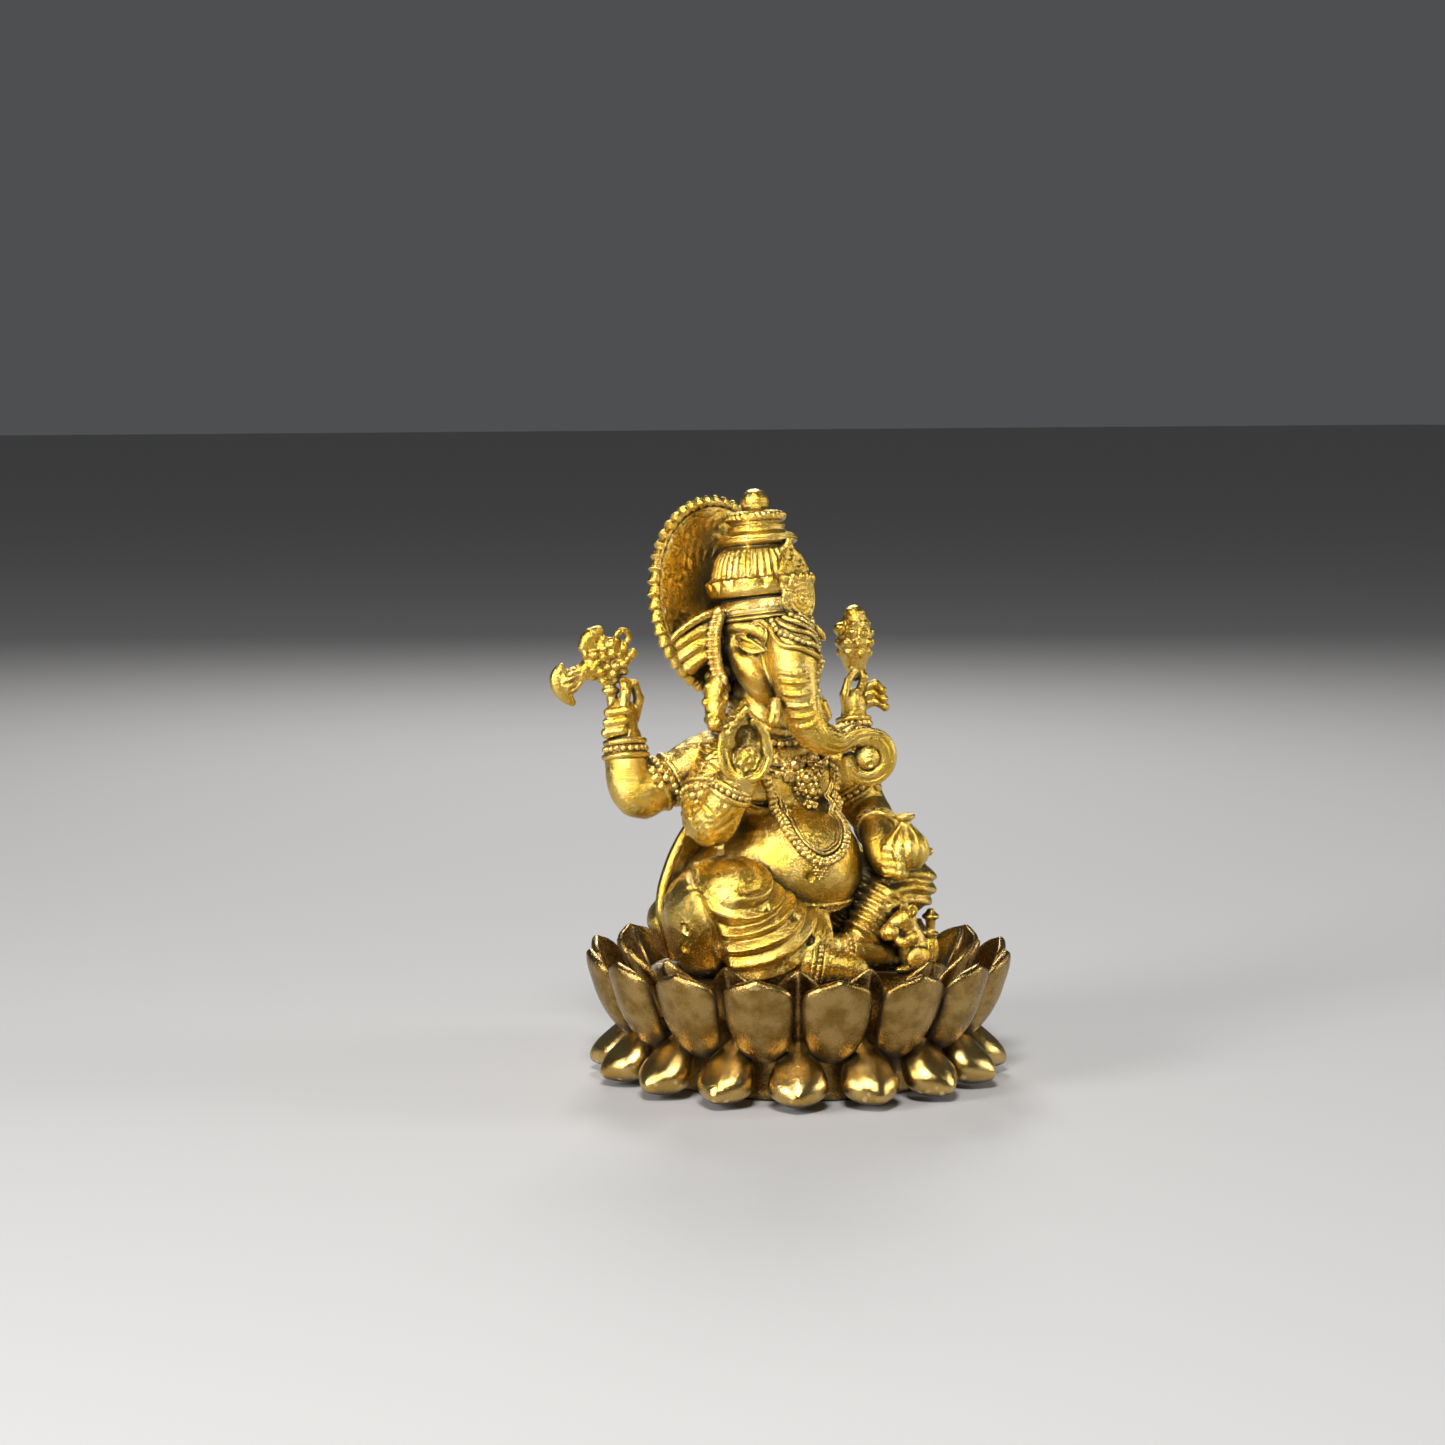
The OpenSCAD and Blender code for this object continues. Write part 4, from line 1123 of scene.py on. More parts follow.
def plaque_form():
    """The crown's front ornament: a pierced spire over a row of lozenges and a round of nested swags."""
    clay = Clay((-3.0, -5.0, 0.6), (3.0, -1.2, 7.4), FACE_STEP)

    def on_crown(x, z, lift):
        heights, radii = (0.8, 2.4, 3.4, 4.0, 4.6, 6.3, 7.0), (3.35, 3.5, 3.6, 3.65, 3.3, 2.62, 2.75)
        r = np.interp(z, heights, radii) + lift
        return vec(x, -math.sqrt(max(r * r - x * x, 0.01)), z)

    def line(points, r):
        clay.limb([(*on_crown(x, z, 0.2), r) for x, z in curve_through(points, 22)], 0, 0.05)
    for way in SIDES:
        line([(0, 6.75), (way * 0.42, 6.0), (way * 0.95, 5.35), (way * 1.3, 4.75)], 0.17)
        line([(0, 5.6), (way * 0.35, 5.2), (way * 0.3, 4.85), (0, 4.75)], 0.12)
        line([(way * 1.0, 5.0), (way * 0.62, 4.9), (way * 0.6, 5.25), (way * 0.85, 5.3)], 0.11)
        line([(way * 0.25, 6.1), (way * 0.1, 5.95), (0, 5.85)], 0.12)
    for i in range(5):
        x = -1.4 + 0.7 * i
        clay.add(egg(on_crown(x, 4.15, 0.2), (0.30, 0.28, 0.36)), 0.04)
    for r, wire in ((1.5, 0.17), (1.12, 0.15), (0.76, 0.14), (0.4, 0.13)):
        angles = np.radians(np.linspace(-200, 130, 30))
        arc = [on_crown(r * math.cos(a), 2.75 + 0.9 * r * math.sin(a), 0.16) for a in angles]
        clay.limb([(*p, wire) for p in arc], 0, 0.03)
    clay.add(ball(on_crown(0, 2.75, 0.2), 0.2), 0.03)
    for i in range(10):
        z = 1.6 + 0.5 * i
        half = np.interp(z, (1.6, 2.6, 3.8, 4.6, 6.3), (0.5, 1.05, 1.4, 1.2, 0.2))
        for x in np.arange(-half, half + 0.01, max(half, 0.2) / 3):
            clay.add(ball(on_crown(x, z, -0.1), 0.28), 0.2)
    return clay


def halo_mesh():
    """A dished disc: smooth near the hub, granular towards its rim."""
    front = smooth_profile([(0.3, 0.0), (1.6, 0.02), (2.6, 0.12), (3.9, 0.45), (5.2, 0.80), (5.9, 0.98),
                            (6.15, 0.95)], 9)
    back = smooth_profile([(6.25, 0.75), (6.1, 0.35), (4.8, 0.05), (3.0, -0.3), (1.5, -0.52),
                           (0.3, -0.55)], 7)
    waves = 36       # their sum is the grain of the casting
    starts = chance.uniform(0, 2 * math.pi, waves)
    ways = chance.uniform(0, math.pi, waves)
    pitch = chance.uniform(5, 11, waves)
    points, faces = spun(np.vstack([front, back]), 360)
    radius = np.hypot(points[:, 0], points[:, 1])
    angle = np.arctan2(points[:, 1], points[:, 0])
    rough = sum(np.cos(f * (math.cos(w) * points[:, 0] + math.sin(w) * points[:, 1]) + s)
                for f, w, s in zip(pitch, ways, starts)) / math.sqrt(waves)
    points[:, 2] += 0.07 * rough * ease(2.6, 3.4, radius) * ease(6.1, 5.8, radius)
    ragged = radius - 2.9 - 0.35 * np.cos(22 * angle)
    tongues = 0.16 * np.abs(np.cos(11 * angle)) * np.exp(-(ragged / 0.22) ** 2)
    points[:, 2] += tongues * (points[:, 2] > -0.25)
    return points, faces


def halo_rope_mesh():
    """A rim of short flame-like teeth, each with a rounded back and a sharp leading edge."""
    teeth, per_tooth = 48, 26
    angle = round_angles(teeth * per_tooth)
    part = (angle * teeth / (2 * math.pi)) % 1
    t = round_angles(14)
    loops = []
    for a, p in zip(angle, part):
        size = 0.22 + 0.30 * (p ** 0.8) * (1 - ease(0.72, 1.0, p))
        centre = 6.38 + 0.35 * size
        r = centre + size * np.cos(t)
        level = 0.72 + (0.22 + 0.5 * size) * np.sin(t)
        loops.append(np.stack([r * math.cos(a), r * math.sin(a), level], axis=1))
    return loft(loops, closed=True)


HALO_AT = from_head(-0.55, 3.9, 3.45)
HALO_TURN = HEAD_TURN @ turn_x(90)


# ---------- ornaments ----------

def tray(*clays):
    """One field that holds several forms, to lay ornaments on."""
    low = np.min([c.low for c in clays], axis=0)
    high = np.max([c.low + c.step * (np.array(c.field.shape) - 1) for c in clays], axis=0)
    whole = Clay(low, high, COARSE_STEP)
    x, y, z = np.meshgrid(*whole.axis, indexing="ij")
    places = np.stack([x.ravel(), y.ravel(), z.ravel()], axis=1)
    for c in clays:
        top = c.low + c.step * (np.array(c.field.shape) - 1)
        inside = np.all((places > c.low) & (places < top), axis=1)
        values = np.full(len(places), FAR, np.float32)
        values[inside] = c.sample(places[inside])
        whole.field = np.minimum(whole.field, values.reshape(whole.field.shape))
    return whole


def lie_on(clay, points, lift, count=60):
    """A smooth line through some places, laid on a form."""
    line = curve_through(points, count)[:, :3]
    for _ in range(2):
        line = clay.settle(line, lift, 8)
        line[1:-1] = (line[:-2] + 2 * line[1:-1] + line[2:]) / 4
    return clay.settle(line, lift, 3)


def bead_string(line, r, pitch):
    """Beads a fixed distance apart along a line."""
    return beads(evenly(line, pitch), r)


def flower(at, normal, size, petals=6):
    """A small boss with round petals round it."""
    side = unit(np.cross(normal, [0.1, 0.2, 1]))
    up = np.cross(side, normal)
    places, radii = [vec(*at) + 0.12 * size * vec(*normal)], [0.42 * size]
    for i in range(petals):
        a = 2 * math.pi * i / petals
        places.append(vec(*at) + 0.62 * size * (math.cos(a) * side + math.sin(a) * up))
        radii.append(0.30 * size)
    return places, radii


def cluster(clay, spots, lift=0.1):
    """Flowers of several sizes laid on a form: rows of x, y, z and size."""
    places, radii = [], []
    for x, y, z, size in spots:
        at = clay.settle([(x, y, z)], lift)
        normal = clay.slope(at)[0]
        p, r = flower(at[0], normal, size)
        places += p
        radii += r
    return beads(places, np.array(radii))


def sweet_form():
    """The round sweet in the curl of the trunk, with a thumbed dimple."""
    clay = Clay(SWEET_AT - 1.3, SWEET_AT + 1.3, FACE_STEP * 0.8)
    clay.add(ball(SWEET_AT, SWEET_R), 0)
    clay.carve(ball(SWEET_AT + vec(-0.35, -0.86, -0.42), 0.24), 0.08)
    clay.add(ring(SWEET_AT + vec(-0.3, -0.76, -0.38), (-0.35, -0.86, -0.42), 0.3, 0.07), 0.08)
    return clay


def hair_mesh():
    """Curled locks and an ear jewel that hang behind each cheek to the shoulder."""
    parts = []
    for side in SIDES:
        ends = np.array([from_head(side * 2.2, -0.5, -6.6), from_head(side * 5.4, 3.2, -1.0)])
        clay = Clay(ends.min(0) - 0.8, ends.max(0) + 0.8, FACE_STEP)
        spine = placed(from_head, *sided(side, (2.9, 1.6, -1.9, 0.6), (3.3, 1.6, -2.9, 0.75),
                                         (3.6, 1.5, -4.0, 0.7), (4.0, 1.3, -5.2, 0.55)))
        clay.limb(spine, 8, 0.2)
        for i, p in enumerate(curve_through(spine, 16)):
            share = i / 15
            a = 2.4 * i
            spot = p[:3] + p[3] * 0.85 * vec(math.cos(a), math.sin(a), 0.25 * math.cos(2.1 * a))
            clay.add(ball(spot, 0.42 - 0.12 * share), 0.06)
        clay.carve(ball(from_head(side * 3.6, 0.65, -3.3), 0.3), 0.08)
        clay.add(ring(from_head(side * 3.6, 0.75, -3.3), HEAD_TURN @ vec(0, 1, 0), 0.42, 0.12), 0.05)
        parts.append(clay.surface())
    return joined(parts)


def diadem_mesh(head):
    """A broad band over the brow: two rolled edges with a row of dots between."""
    parts = []
    angle = np.radians(np.linspace(0, 360, 121)[:-1])
    for z, r in ((1.62, 0.13), (1.9, 0.10), (2.72, 0.12), (3.0, 0.17)):
        start = np.stack([3.2 * np.sin(angle), -3.3 * np.cos(angle), np.full(120, z)], axis=1)
        line = head.settle(start, 0.10, 14)
        line[:, 2] = z + 0.10 * np.cos(angle) * (z < 2)
        loops = []
        t = round_angles(10)
        for p, a in zip(line, angle):
            out = vec(math.sin(a), -math.cos(a), 0)
            loops.append(round_loop(p, r, out, vec(0, 0, 1), t))
        parts.append(loft(loops, closed=True))
        if z == 1.9:
            middle = line.copy()
    band = []
    for p, a in zip(middle, angle):
        out = vec(math.sin(a), -math.cos(a), 0)
        band.append([p - out * 0.25 + vec(0, 0, -0.25), p + out * 0.02 + vec(0, 0, -0.25),
                     p + out * 0.06 + vec(0, 0, 0.95), p - out * 0.25 + vec(0, 0, 0.95)])
    parts.append(loft(np.array(band)[:, ::-1], closed=True))
    for k, a in enumerate(angle[::2]):
        out = vec(math.sin(a), -math.cos(a), 0)
        p = middle[2 * k]
        parts.append(beads([p + out * 0.04 + vec(0, 0, 0.40 + 0.06 * (k % 2))], 0.17 if k % 2 else 0.11))
    return joined(parts)


def brow_mesh(head):
    """Nested festoons of beads and cords that hang from the band over the root of the trunk."""
    parts = []
    festoons = ((52, 1.55, -1.35), (44, 1.55, -0.8), (36, 1.55, -0.25), (28, 1.6, 0.25), (20, 1.6, 0.75),
                (12, 1.65, 1.2))       # degrees to either side, height of the ends, height of the middle
    for row, (wide, top, low) in enumerate(festoons):
        share = np.linspace(-1, 1, 90)
        across = np.radians(wide * share)
        fall = low + (top - low) * np.abs(share) ** 1.8
        line = head.settle(np.stack([4.0 * np.sin(across), -4.0 * np.cos(across), fall], axis=1), 0.11, 14)
        if row in (0, 3):
            parts.append(rope(line, 0.19, 0.42))
        elif row in (1, 4):
            parts.append(bead_string(line, 0.23, 0.42))
        else:
            parts.append(rod(evenly(line, 0.1), 0.17, 8))
    for side in SIDES:
        zig = []
        for i in range(9):
            share = i / 8
            height = 1.15 - 1.2 * share + (0.22 if i % 2 else -0.12)
            zig.append((side * (2.5 - 1.6 * share), -1.6 - 1.4 * share, height))
        parts.append(rod(evenly(lie_on(head, zig, 0.05, 70), 0.08), 0.08, 8))
    at = head.settle([(0, -4.2, -1.5)], 0.12)[0]
    places, radii = flower(at, vec(0, -1, 0.1), 0.62)
    parts.append(beads(places, np.array(radii)))
    drop = head.settle([(0, -4.2, -2.1)], 0.12)[0]
    parts.append(beads([drop, drop + vec(0, 0, -0.3)], np.array([0.22, 0.14])))
    return joined(parts)


def temple_mesh():
    """A flat braid of two cords that hangs in front of each ear and ends in a fringe."""
    parts = []
    for side in SIDES:
        line = curve_through([(side * 3.2, 0.95, 2.0), (side * 3.5, 1.15, 1.1), (side * 3.6, 1.25, 0.0),
                              (side * 3.55, 1.25, -1.0), (side * 3.45, 1.15, -1.9)], 60)
        for shift in (-0.28, 0.28):
            parts.append(rope(line + vec(0, shift, 0), 0.27, 0.5, 2))
        parts.append(rod(line - vec(side * 0.1, 0, 0), 0.3, 10))
        ribs = [evenly(line + vec(side * 0.12, shift, 0), 0.42) for shift in (-0.26, 0.26)]
        parts.append(beads(np.vstack(ribs), 0.3, (0.9, 1.15, 0.6)))
        parts.append(beads([line[0] + vec(0, 0, 0.3)], 0.42))
        for shift in (-0.4, 0.0, 0.4):
            end = line[-1] + vec(0, shift, 0)
            tip = end + vec(0, 0.5 * shift, -0.75)
            parts.append(rod(np.array([end, 0.5 * (end + tip), tip]), np.array([0.2, 0.24, 0.12]), 10))
    return joined(parts)


COLLAR_AT, COLLAR_TILT = vec(-0.3, 2.9, 22.4), turn_x(24)


def collar_mesh(body):
    """Necklaces one below another: twisted rolls, strings of beads, and a plain cord with drops."""
    parts = []
    angle = np.linspace(0, 2 * math.pi, 73)
    rounds = ((3.0, 0.35), (3.55, 0.0), (4.15, -0.55), (2.7, 1.05), (2.5, 1.75))
    for row, (reach, fall) in enumerate(rounds):
        start = np.stack([reach * np.sin(angle), -0.86 * reach * np.cos(angle), np.full(73, fall)], axis=1)
        line = body.settle(COLLAR_AT + start @ COLLAR_TILT.T, 0.12, 14)
        if row in (0, 4):
            parts.append(rope(line, 0.42 if row == 0 else 0.3, 0.8, 3))
        elif row in (1, 3):
            parts.append(bead_string(line, 0.30, 0.52))
        else:
            parts.append(rod(evenly(line, 0.15), 0.15, 8))
            spots = evenly(line, 0.75)
            below = body.settle(spots + vec(0, 0, -0.35), 0.1)
            parts.append(beads(below, 0.24, (1, 1, 1.4)))
    return joined(parts)


def pendant_mesh(body):
    """The large pendant: flowers and leaves in a heap on the chest."""
    return cluster(body, [(-0.1, 0.0, 20.9, 1.0), (0.5, -0.3, 19.9, 0.9), (-0.8, 0.2, 20.2, 0.7),
                          (1.3, 0.0, 20.4, 0.75), (0.9, -0.4, 19.0, 0.8), (0.1, -0.5, 19.2, 0.6),
                          (-1.3, 0.6, 21.4, 0.8), (1.6, 0.4, 21.6, 0.8), (0.6, -0.6, 18.3, 0.6)], 0.12)


GARLAND = [(-2.9, 0.9, 20.6), (-2.37, -0.24, 19.3), (-1.95, -0.1, 18.31), (-1.95, -1.27, 17.37),
           (-1.96, -2.52, 16.32), (-1.52, -3.17, 15.49), (-0.49, -3.54, 14.86), (0.88, -3.41, 15.27),
           (2.0, -2.6, 16.34), (2.5, -1.4, 17.2), (2.64, -0.7, 18.2), (2.9, 0.6, 20.3)]


def garland_mesh(body):
    """A long necklace down to the belly: a toothed outer roll, a row of beads, and a smooth inner cord."""
    line = lie_on(body, GARLAND, 0.14, 120)
    centre = vec(0.2, -1.8, 18.0)
    inward = centre - line
    normal = body.slope(line)
    inward -= normal * np.sum(inward * normal, axis=1)[:, None]
    inward /= np.linalg.norm(inward, axis=1)[:, None]
    outer = body.settle(line - inward * 0.26, 0.10)
    inner = body.settle(line + inward * 0.42, 0.10)
    teeth = evenly(outer, 0.44)
    spots = np.repeat(teeth, 2, axis=0)
    spots[1::2] += body.slope(teeth) * 0.05
    inmost = body.settle(line + inward * 0.68, 0.05)
    return joined([beads(spots, 0.27), bead_string(line + normal * 0.05, 0.20, 0.34),
                   rod(evenly(inner, 0.12), 0.13, 8), rod(evenly(inmost, 0.12), 0.08, 8)])


def band_round(node, share, r_extra, height, style):
    """A bracelet on an arm: 'rope' is a twisted ring, 'beads' a ring of beads, 'plain' a rolled ring."""
    line = curve_through(ARMS[node], 80)
    i = int(share * 79)
    along = unit(line[min(i + 2, 79), :3] - line[max(i - 2, 0), :3])
    side = unit(np.cross(along, [0.3, -0.8, 0.2]))
    up = np.cross(along, side)
    loop = round_loop(line[i, :3], line[i, 3] + r_extra, side, up, np.linspace(0, 2 * math.pi, 49))
    if style == "beads":
        return bead_string(loop[:-1], height, height * 1.9)
    if style == "rope":
        return rope(loop, height, 0.6, 2)
    return rod(evenly(loop, 0.15), height, 10)


def armlet_mesh():
    """Upper-arm bands, each with two rolls, a bead row and a round boss outside."""
    parts = []
    for node, share in (("back_right_arm", 0.30), ("back_left_arm", 0.30), ("front_right_arm", 0.26),
                        ("front_left_arm", 0.26)):
        parts.append(band_round(node, share - 0.055, 0.05, 0.20, "rope"))
        parts.append(band_round(node, share, 0.10, 0.26, "beads"))
        parts.append(band_round(node, share + 0.055, 0.05, 0.20, "rope"))
        line = curve_through(ARMS[node], 80)[int(share * 79)]
        out = unit((-1.0 if line[0] < 0 else 1.0, -0.9, 0.35))
        places, radii = flower(line[:3] + out * (line[3] + 0.12), out, 1.0)
        parts.append(beads(places, np.array(radii)))
    return joined(parts)


def bangle_mesh():
    """Three bracelets side by side on each wrist."""
    parts = []
    for node, share, swell in (("back_right_arm", 0.93, 0.10), ("back_left_arm", 0.95, 0.10),
                               ("front_right_arm", 0.90, 0.12), ("front_left_arm", 0.90, 0.12)):
        for shift, height, style in ((-1, 0.22, "plain"), (0, 0.24, "beads"), (1, 0.22, "plain")):
            parts.append(band_round(node, share + 0.045 * shift, swell, height, style))
    return joined(parts)


def anklet_mesh():
    """Two cords with a row of beads between them, round each ankle."""
    parts = []
    for centre, way, r in ((vec(1.75, -2.9, 8.45), unit((0.95, -0.25, -0.1)), 1.12),
                           (vec(-1.9, -5.0, 8.35), unit((0.85, -0.5, -0.15)), 1.2)):
        side = unit(np.cross(way, [0, 0, 1]))
        up = np.cross(side, way)
        angle = np.linspace(0, 2 * math.pi, 41)
        for shift, style in ((-0.28, "rope"), (0.12, "beads"), (0.45, "rope")):
            loop = round_loop(centre + way * shift, r, side, up, angle)
            loop[:, 2] = np.maximum(loop[:, 2], SEAT_Z + 0.2)
            parts.append(bead_string(loop[:-1], 0.2, 0.36) if style == "beads" else rope(loop, 0.15, 0.5))
    return joined(parts)


def belt_mesh(body):
    """The rolled waist of the lower cloth, under the belly and round the back."""
    angle = np.linspace(0, 2 * math.pi, 97)
    parts = []
    for fall, r, style in ((-0.55, 0.2, "rope"), (-0.95, 0.17, "beads"), (-1.3, 0.16, "rope")):
        level = 11.9 + fall + 0.45 * np.cos(angle)
        start = np.stack([4.6 * np.sin(angle), 1.2 - 4.3 * np.cos(angle), level], axis=1)
        line = body.settle(start, 0.05, 14)
        parts.append(bead_string(line, r, r * 1.9) if style == "beads" else rope(line, r, 0.9))
    return joined(parts)


def pleat_form():
    """The gathered end of the lower cloth, hanging in folds between the legs."""
    clay = Clay((-4.6, -6.4, 6.8), (3.4, -0.4, 13.0), FACE_STEP)
    for i in range(9):
        share = i / 8
        bow = math.sin(math.pi * share)
        clay.limb([(-2.9 + 3.0 * share, -2.5 - 0.3 * bow, 11.9, 0.30),
                   (-3.2 + 3.2 * share, -3.6 - 0.5 * bow, 10.2, 0.26),
                   (-3.2 + 3.2 * share, -4.1 - 0.5 * bow, 8.0, 0.24)], 8, 0.08)
    clay.limb([(-1.4, -2.2, 11.6, 0.9), (-1.6, -3.3, 9.6, 0.9), (-1.5, -3.6, 8.0, 1.0)], 6, 0.15)
    clay.floor(ON_SEAT)
    return clay


def navel_mesh(body):
    """A jewel pinned on the belly beside the navel."""
    return cluster(body, [(-1.05, -3.5, 14.75, 0.36), (-0.6, -3.6, 14.6, 0.34), (-0.95, -3.5, 14.2, 0.38),
                          (-0.45, -3.5, 14.1, 0.34), (-0.2, -3.5, 14.4, 0.3),
                          (-0.7, -3.5, 13.8, 0.3)], 0.05)


SHAWL = [(5.1, 4.6, 17.3), (6.3, 4.5, 15.9), (7.35, 4.2, 14.5), (8.25, 3.9, 12.6), (8.4, 3.8, 11.0),
         (7.8, 3.9, 9.3), (7.3, 4.0, 7.8)]
SHAWL_STEP = 0.11


def shawl_mesh():
    """The scarf behind each side: a thick grooved edge, and the sheet that joins it to the back."""
    parts = []
    for side in SIDES:
        line = curve_through([(side * x, y, z) for x, y, z in SHAWL], 60)

        def edge(angle, run):
            return 1.0 - 0.35 * np.exp(-(np.cos(angle) - 0.35) ** 2 / 0.03)
        parts.append(rod(line, 0.40, 16, edge))
        clay = Clay(line.min(0) - 2.8, line.max(0) + 1.2, SHAWL_STEP)
        for shift in (0.35, 0.9, 1.5, 2.1):
            inwards = vec(-side * shift, 0.12 * shift, -0.12 * shift)
            clay.limb([(*(p + inwards), 0.34) for p in line[::4]], 0, 0.3)
        clay.floor(ON_SEAT)
        parts.append(clay.surface())
    return joined(parts)


def side_tassel_mesh():
    """The tassel at the left knee: a ribbed skirt under two beads."""
    outline = smooth_profile([(0.2, 0.0), (0.6, 0.02), (0.62, 0.3), (0.5, 1.4), (0.34, 1.65), (0.52, 1.8),
                              (0.56, 1.95), (0.34, 2.15), (0.36, 2.8), (0.55, 2.95), (0.58, 3.15),
                              (0.36, 3.35), (0.2, 3.6)], 5)
    mesh = spun(outline, 72, lambda a, row, z: 0.05 * np.abs(np.cos(6 * a)) * ease(1.5, 1.2, z))
    return shifted(mesh, (9.3, -2.3, SEAT_Z))


# ---------- the mouse ----------

MOUSE_AT = vec(6.05, -4.75, 8.45)
MOUSE_TURN = turn_z(-10)


def mouse_form():
    """The mouse, sitting up and looking across at the deity's feet, with its paws to its mouth."""
    clay = Clay((3.2, -7.4, 6.8), (9.8, -1.8, 13.2), FACE_STEP)

    def at(x, y, z):
        return MOUSE_AT + MOUSE_TURN @ vec(x, y, z)
    clay.add(egg(at(0.0, 0, 0.1), (1.0, 1.0, 1.5), turn_y(-8)), 0.1)
    clay.add(egg(at(0.2, 0, -0.6), (1.05, 1.15, 0.9)), 0.3)
    clay.limb(placed(at, (-0.2, 0, 1.0, 0.8), (-0.6, 0, 1.9, 0.72)), soft=0.3)
    snout = placed(at, (-0.6, 0, 2.1, 0.74), (-1.25, -0.05, 1.85, 0.52), (-1.85, -0.1, 1.6, 0.28))
    clay.limb(snout, 6, 0.2)
    for way in SIDES:
        clay.add(egg(at(-0.35, way * 0.68, 2.75), (0.42, 0.2, 0.44)), 0.08)
        clay.carve(egg(at(-0.5, way * 0.84, 2.8), (0.24, 0.12, 0.26)), 0.05)
        clay.add(ball(at(-1.2, way * 0.42, 2.15), 0.16), 0.03)
        clay.limb(placed(at, (-0.4, way * 0.9, 1.0, 0.38), (-1.15, way * 0.95, 0.65, 0.32),
                         (-1.6, way * 0.55, 1.1, 0.26)), 6, 0.1)
        clay.add(egg(at(0.0, way * 0.95, -0.45), (0.95, 0.5, 0.85)), 0.12)
        clay.add(egg(at(-0.95, way * 0.8, -1.15), (0.75, 0.35, 0.28)), 0.1)
    clay.limb(placed(at, (1.0, 0.2, -1.0, 0.26), (1.6, 0.9, -1.1, 0.22), (1.2, 1.7, -1.1, 0.18)), 8, 0.1)
    clay.floor(ON_SEAT)
    return clay


def mouse_sweet_mesh():
    """A small pleated sweet."""
    outline = smooth_profile([(0.15, -0.55), (0.5, -0.42), (0.62, 0.0), (0.48, 0.35), (0.2, 0.6),
                              (0.05, 0.68)], 5)
    mesh = spun(outline, 60, lambda a, row, z: 0.05 * np.abs(np.cos(5 * a)) * ease(-0.5, 0.0, z))
    return shifted(mesh, MOUSE_AT + MOUSE_TURN @ vec(-1.95, -0.45, 1.35))


# ---------- build ----------

build_lotus()

hips, torso = hips_form(), torso_form()
gold("hips", hips)
gold("torso", torso)
gold("right_leg", right_leg_form())
gold("left_leg", left_leg_form())
gold("right_foot", foot_form((-4.6, -8.6, 6.8), (3.4, -3.2, 10.6),
                             [(-2.4, -4.8, 8.4, 1.15), (-0.8, -5.6, 8.1, 1.0), (0.4, -6.2, 7.85, 0.85)],
                             (0.9, -0.42, -0.1), (0.12, 0.30, 0.16), (-1.6, -5.3, 7.8, 0.8)))
gold("left_foot", foot_form((-0.8, -5.8, 6.8), (8.6, -1.0, 10.6),
                            [(1.2, -2.8, 8.6, 1.1), (3.0, -3.2, 8.3, 1.0), (4.6, -3.6, 8.1, 0.8)],
                            (0.95, -0.22, -0.08), (0.02, 0.26, 0.2), (1.9, -3.0, 8.0, 0.8)))
arms = {node: arm_form(node) for node in ARMS}
for node, clay in arms.items():
    gold(node, clay)
gold("back_right_hand", back_right_hand())
gold("back_left_hand", back_left_hand())
gold("front_right_hand", blessing_hand())
gold("front_left_hand", front_left_hand())
gold("axe", axe_form())
gold("lotus_bud", bud_form())
gold("sweet_pot", pot_mesh())

head = head_form()
gold("head", head, HEAD_AT, HEAD_TURN)
gold("trunk", trunk_form())
gold("trunk_sweet", sweet_form())
gold("right_tusk", tusk_mesh(-1, 1.1))
gold("left_tusk", tusk_mesh(1, 0.9))
gold("right_ear", ear_form(-1), HEAD_AT, HEAD_TURN)
gold("left_ear", ear_form(1), HEAD_AT, HEAD_TURN)
gold("crown", crown_mesh(), HEAD_AT, HEAD_TURN)
gold("crown_finial", finial_mesh(), HEAD_AT, HEAD_TURN)
gold("crown_plaque", plaque_form(), HEAD_AT, HEAD_TURN)
gold("diadem", diadem_mesh(head), HEAD_AT, HEAD_TURN)
head.limb(placed(to_head, *TRUNK[:5]), 8, 0.15)      # the chains lie on the trunk too
gold("brow_chains", brow_mesh(head), HEAD_AT, HEAD_TURN)
gold("temple_tassels", temple_mesh(), HEAD_AT, HEAD_TURN)
gold("halo", halo_mesh(), HALO_AT, HALO_TURN)
gold("halo_rope", halo_rope_mesh(), HALO_AT, HALO_TURN)
gold("hair_locks", hair_mesh())

gold("collar", collar_mesh(tray(torso, *arms.values())))
gold("pendant", pendant_mesh(torso))
gold("garland", garland_mesh(torso))
gold("armlets", armlet_mesh())
gold("bangles", bangle_mesh())
gold("anklets", anklet_mesh())
gold("belt", belt_mesh(tray(torso, hips)))
gold("front_pleats", pleat_form())
gold("navel_jewel", navel_mesh(torso))
gold("shawl", shawl_mesh())
gold("side_tassel", side_tassel_mesh())
gold("mouse", mouse_form())
gold("mouse_sweet", mouse_sweet_mesh())


# ---------- floor, lights and camera ----------

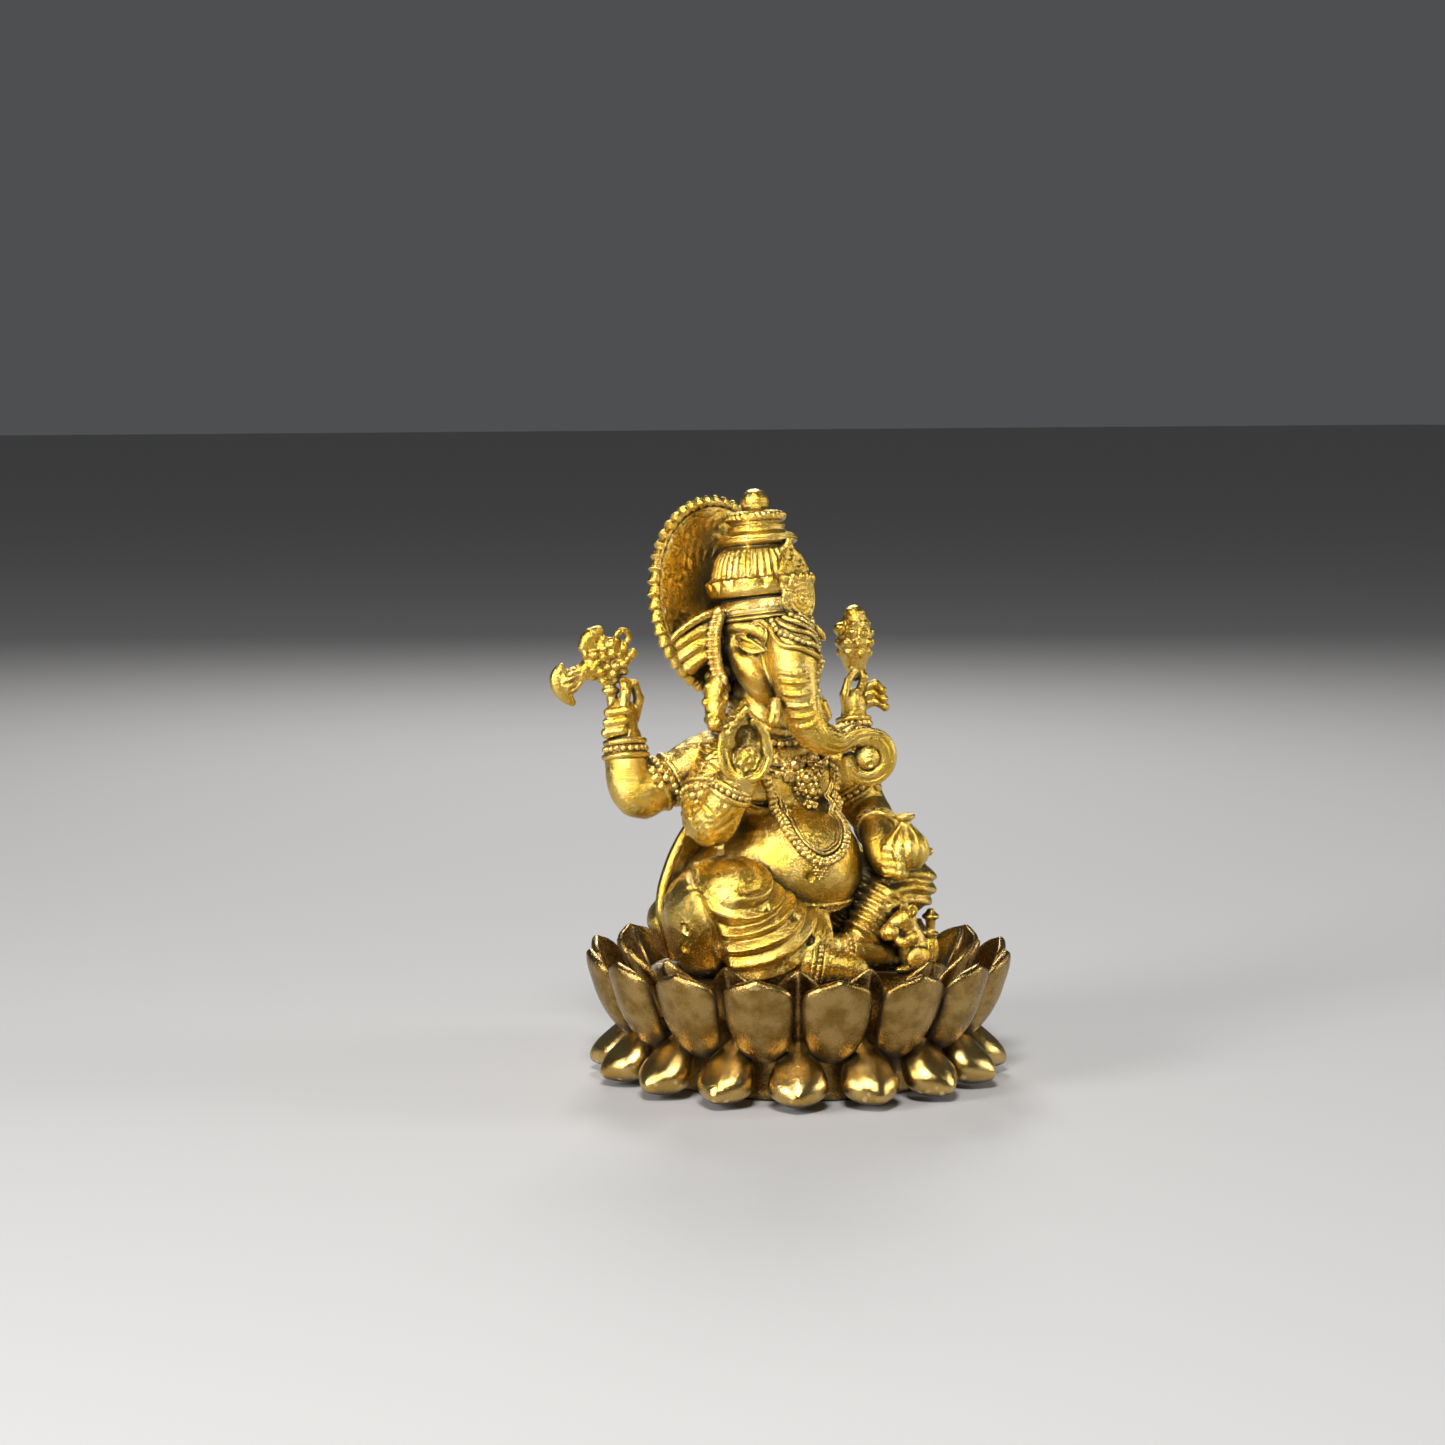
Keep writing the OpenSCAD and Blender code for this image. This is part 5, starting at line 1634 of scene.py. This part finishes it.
FLOOR_HALF = 3.0     # metres
floor_mesh = bpy.data.meshes.new("floor")
corners = [(x * FLOOR_HALF, y * FLOOR_HALF, 0) for x, y in ((-1, -1), (1, -1), (1, 1), (-1, 1))]
floor_mesh.from_pydata(corners, [], [(0, 1, 2, 3)])
floor = bpy.data.objects.new("floor", floor_mesh)
bpy.context.scene.collection.objects.link(floor)
pale = bpy.data.materials.new("pale_floor")
pale.use_nodes = True
pale_shader = pale.node_tree.nodes["Principled BSDF"]
pale_shader.inputs["Base Color"].default_value = (0.50, 0.49, 0.48, 1)
pale_shader.inputs["Roughness"].default_value = 0.8
floor_mesh.materials.append(pale)


LIT_PLACE = (0, 0, 0.02)     # the lamps face the middle of the figure


def lamp(name, at, size, power):
    """A square soft light: metres and watts."""
    light = bpy.data.lights.new(name, "AREA")
    light.size = size
    light.energy = power
    thing = bpy.data.objects.new(name, light)
    thing.location = at
    thing.rotation_euler = Vector(vec(*LIT_PLACE) - vec(*at)).to_track_quat("-Z", "Y").to_euler()
    bpy.context.scene.collection.objects.link(thing)


lamp("key", (-0.13, -0.17, 0.24), 0.07, 0.80)
lamp("side", (-0.26, -0.03, 0.10), 0.09, 0.54)
lamp("fill", (0.24, -0.14, 0.10), 0.09, 0.26)
lamp("rim", (0.12, 0.22, 0.20), 0.08, 0.40)

world = bpy.data.worlds.new("studio")
world.use_nodes = True
sky = world.node_tree.nodes["Background"]
sky.inputs["Color"].default_value = (0.55, 0.56, 0.58, 1)
sky.inputs["Strength"].default_value = 0.14
bpy.context.scene.world = world
bpy.context.scene.view_settings.view_transform = "Standard"

# the camera stands where the photo's did: to the deity's right and a little above it
CAMERA_AT = (-0.11955, -0.17893, 0.04574)      # metres
CAMERA_DOWN, CAMERA_ROUND = 5.8603, 57.6077    # degrees below level, and from +X round towards +Y
camera = bpy.data.objects.new("camera", bpy.data.cameras.new("camera"))
camera.data.sensor_width = 36
camera.data.lens = 80.67
camera.data.clip_start = 0.01
camera.location = CAMERA_AT
camera.rotation_euler = (math.radians(90 - CAMERA_DOWN), 0, math.radians(CAMERA_ROUND - 90))
bpy.context.scene.collection.objects.link(camera)
bpy.context.scene.camera = camera
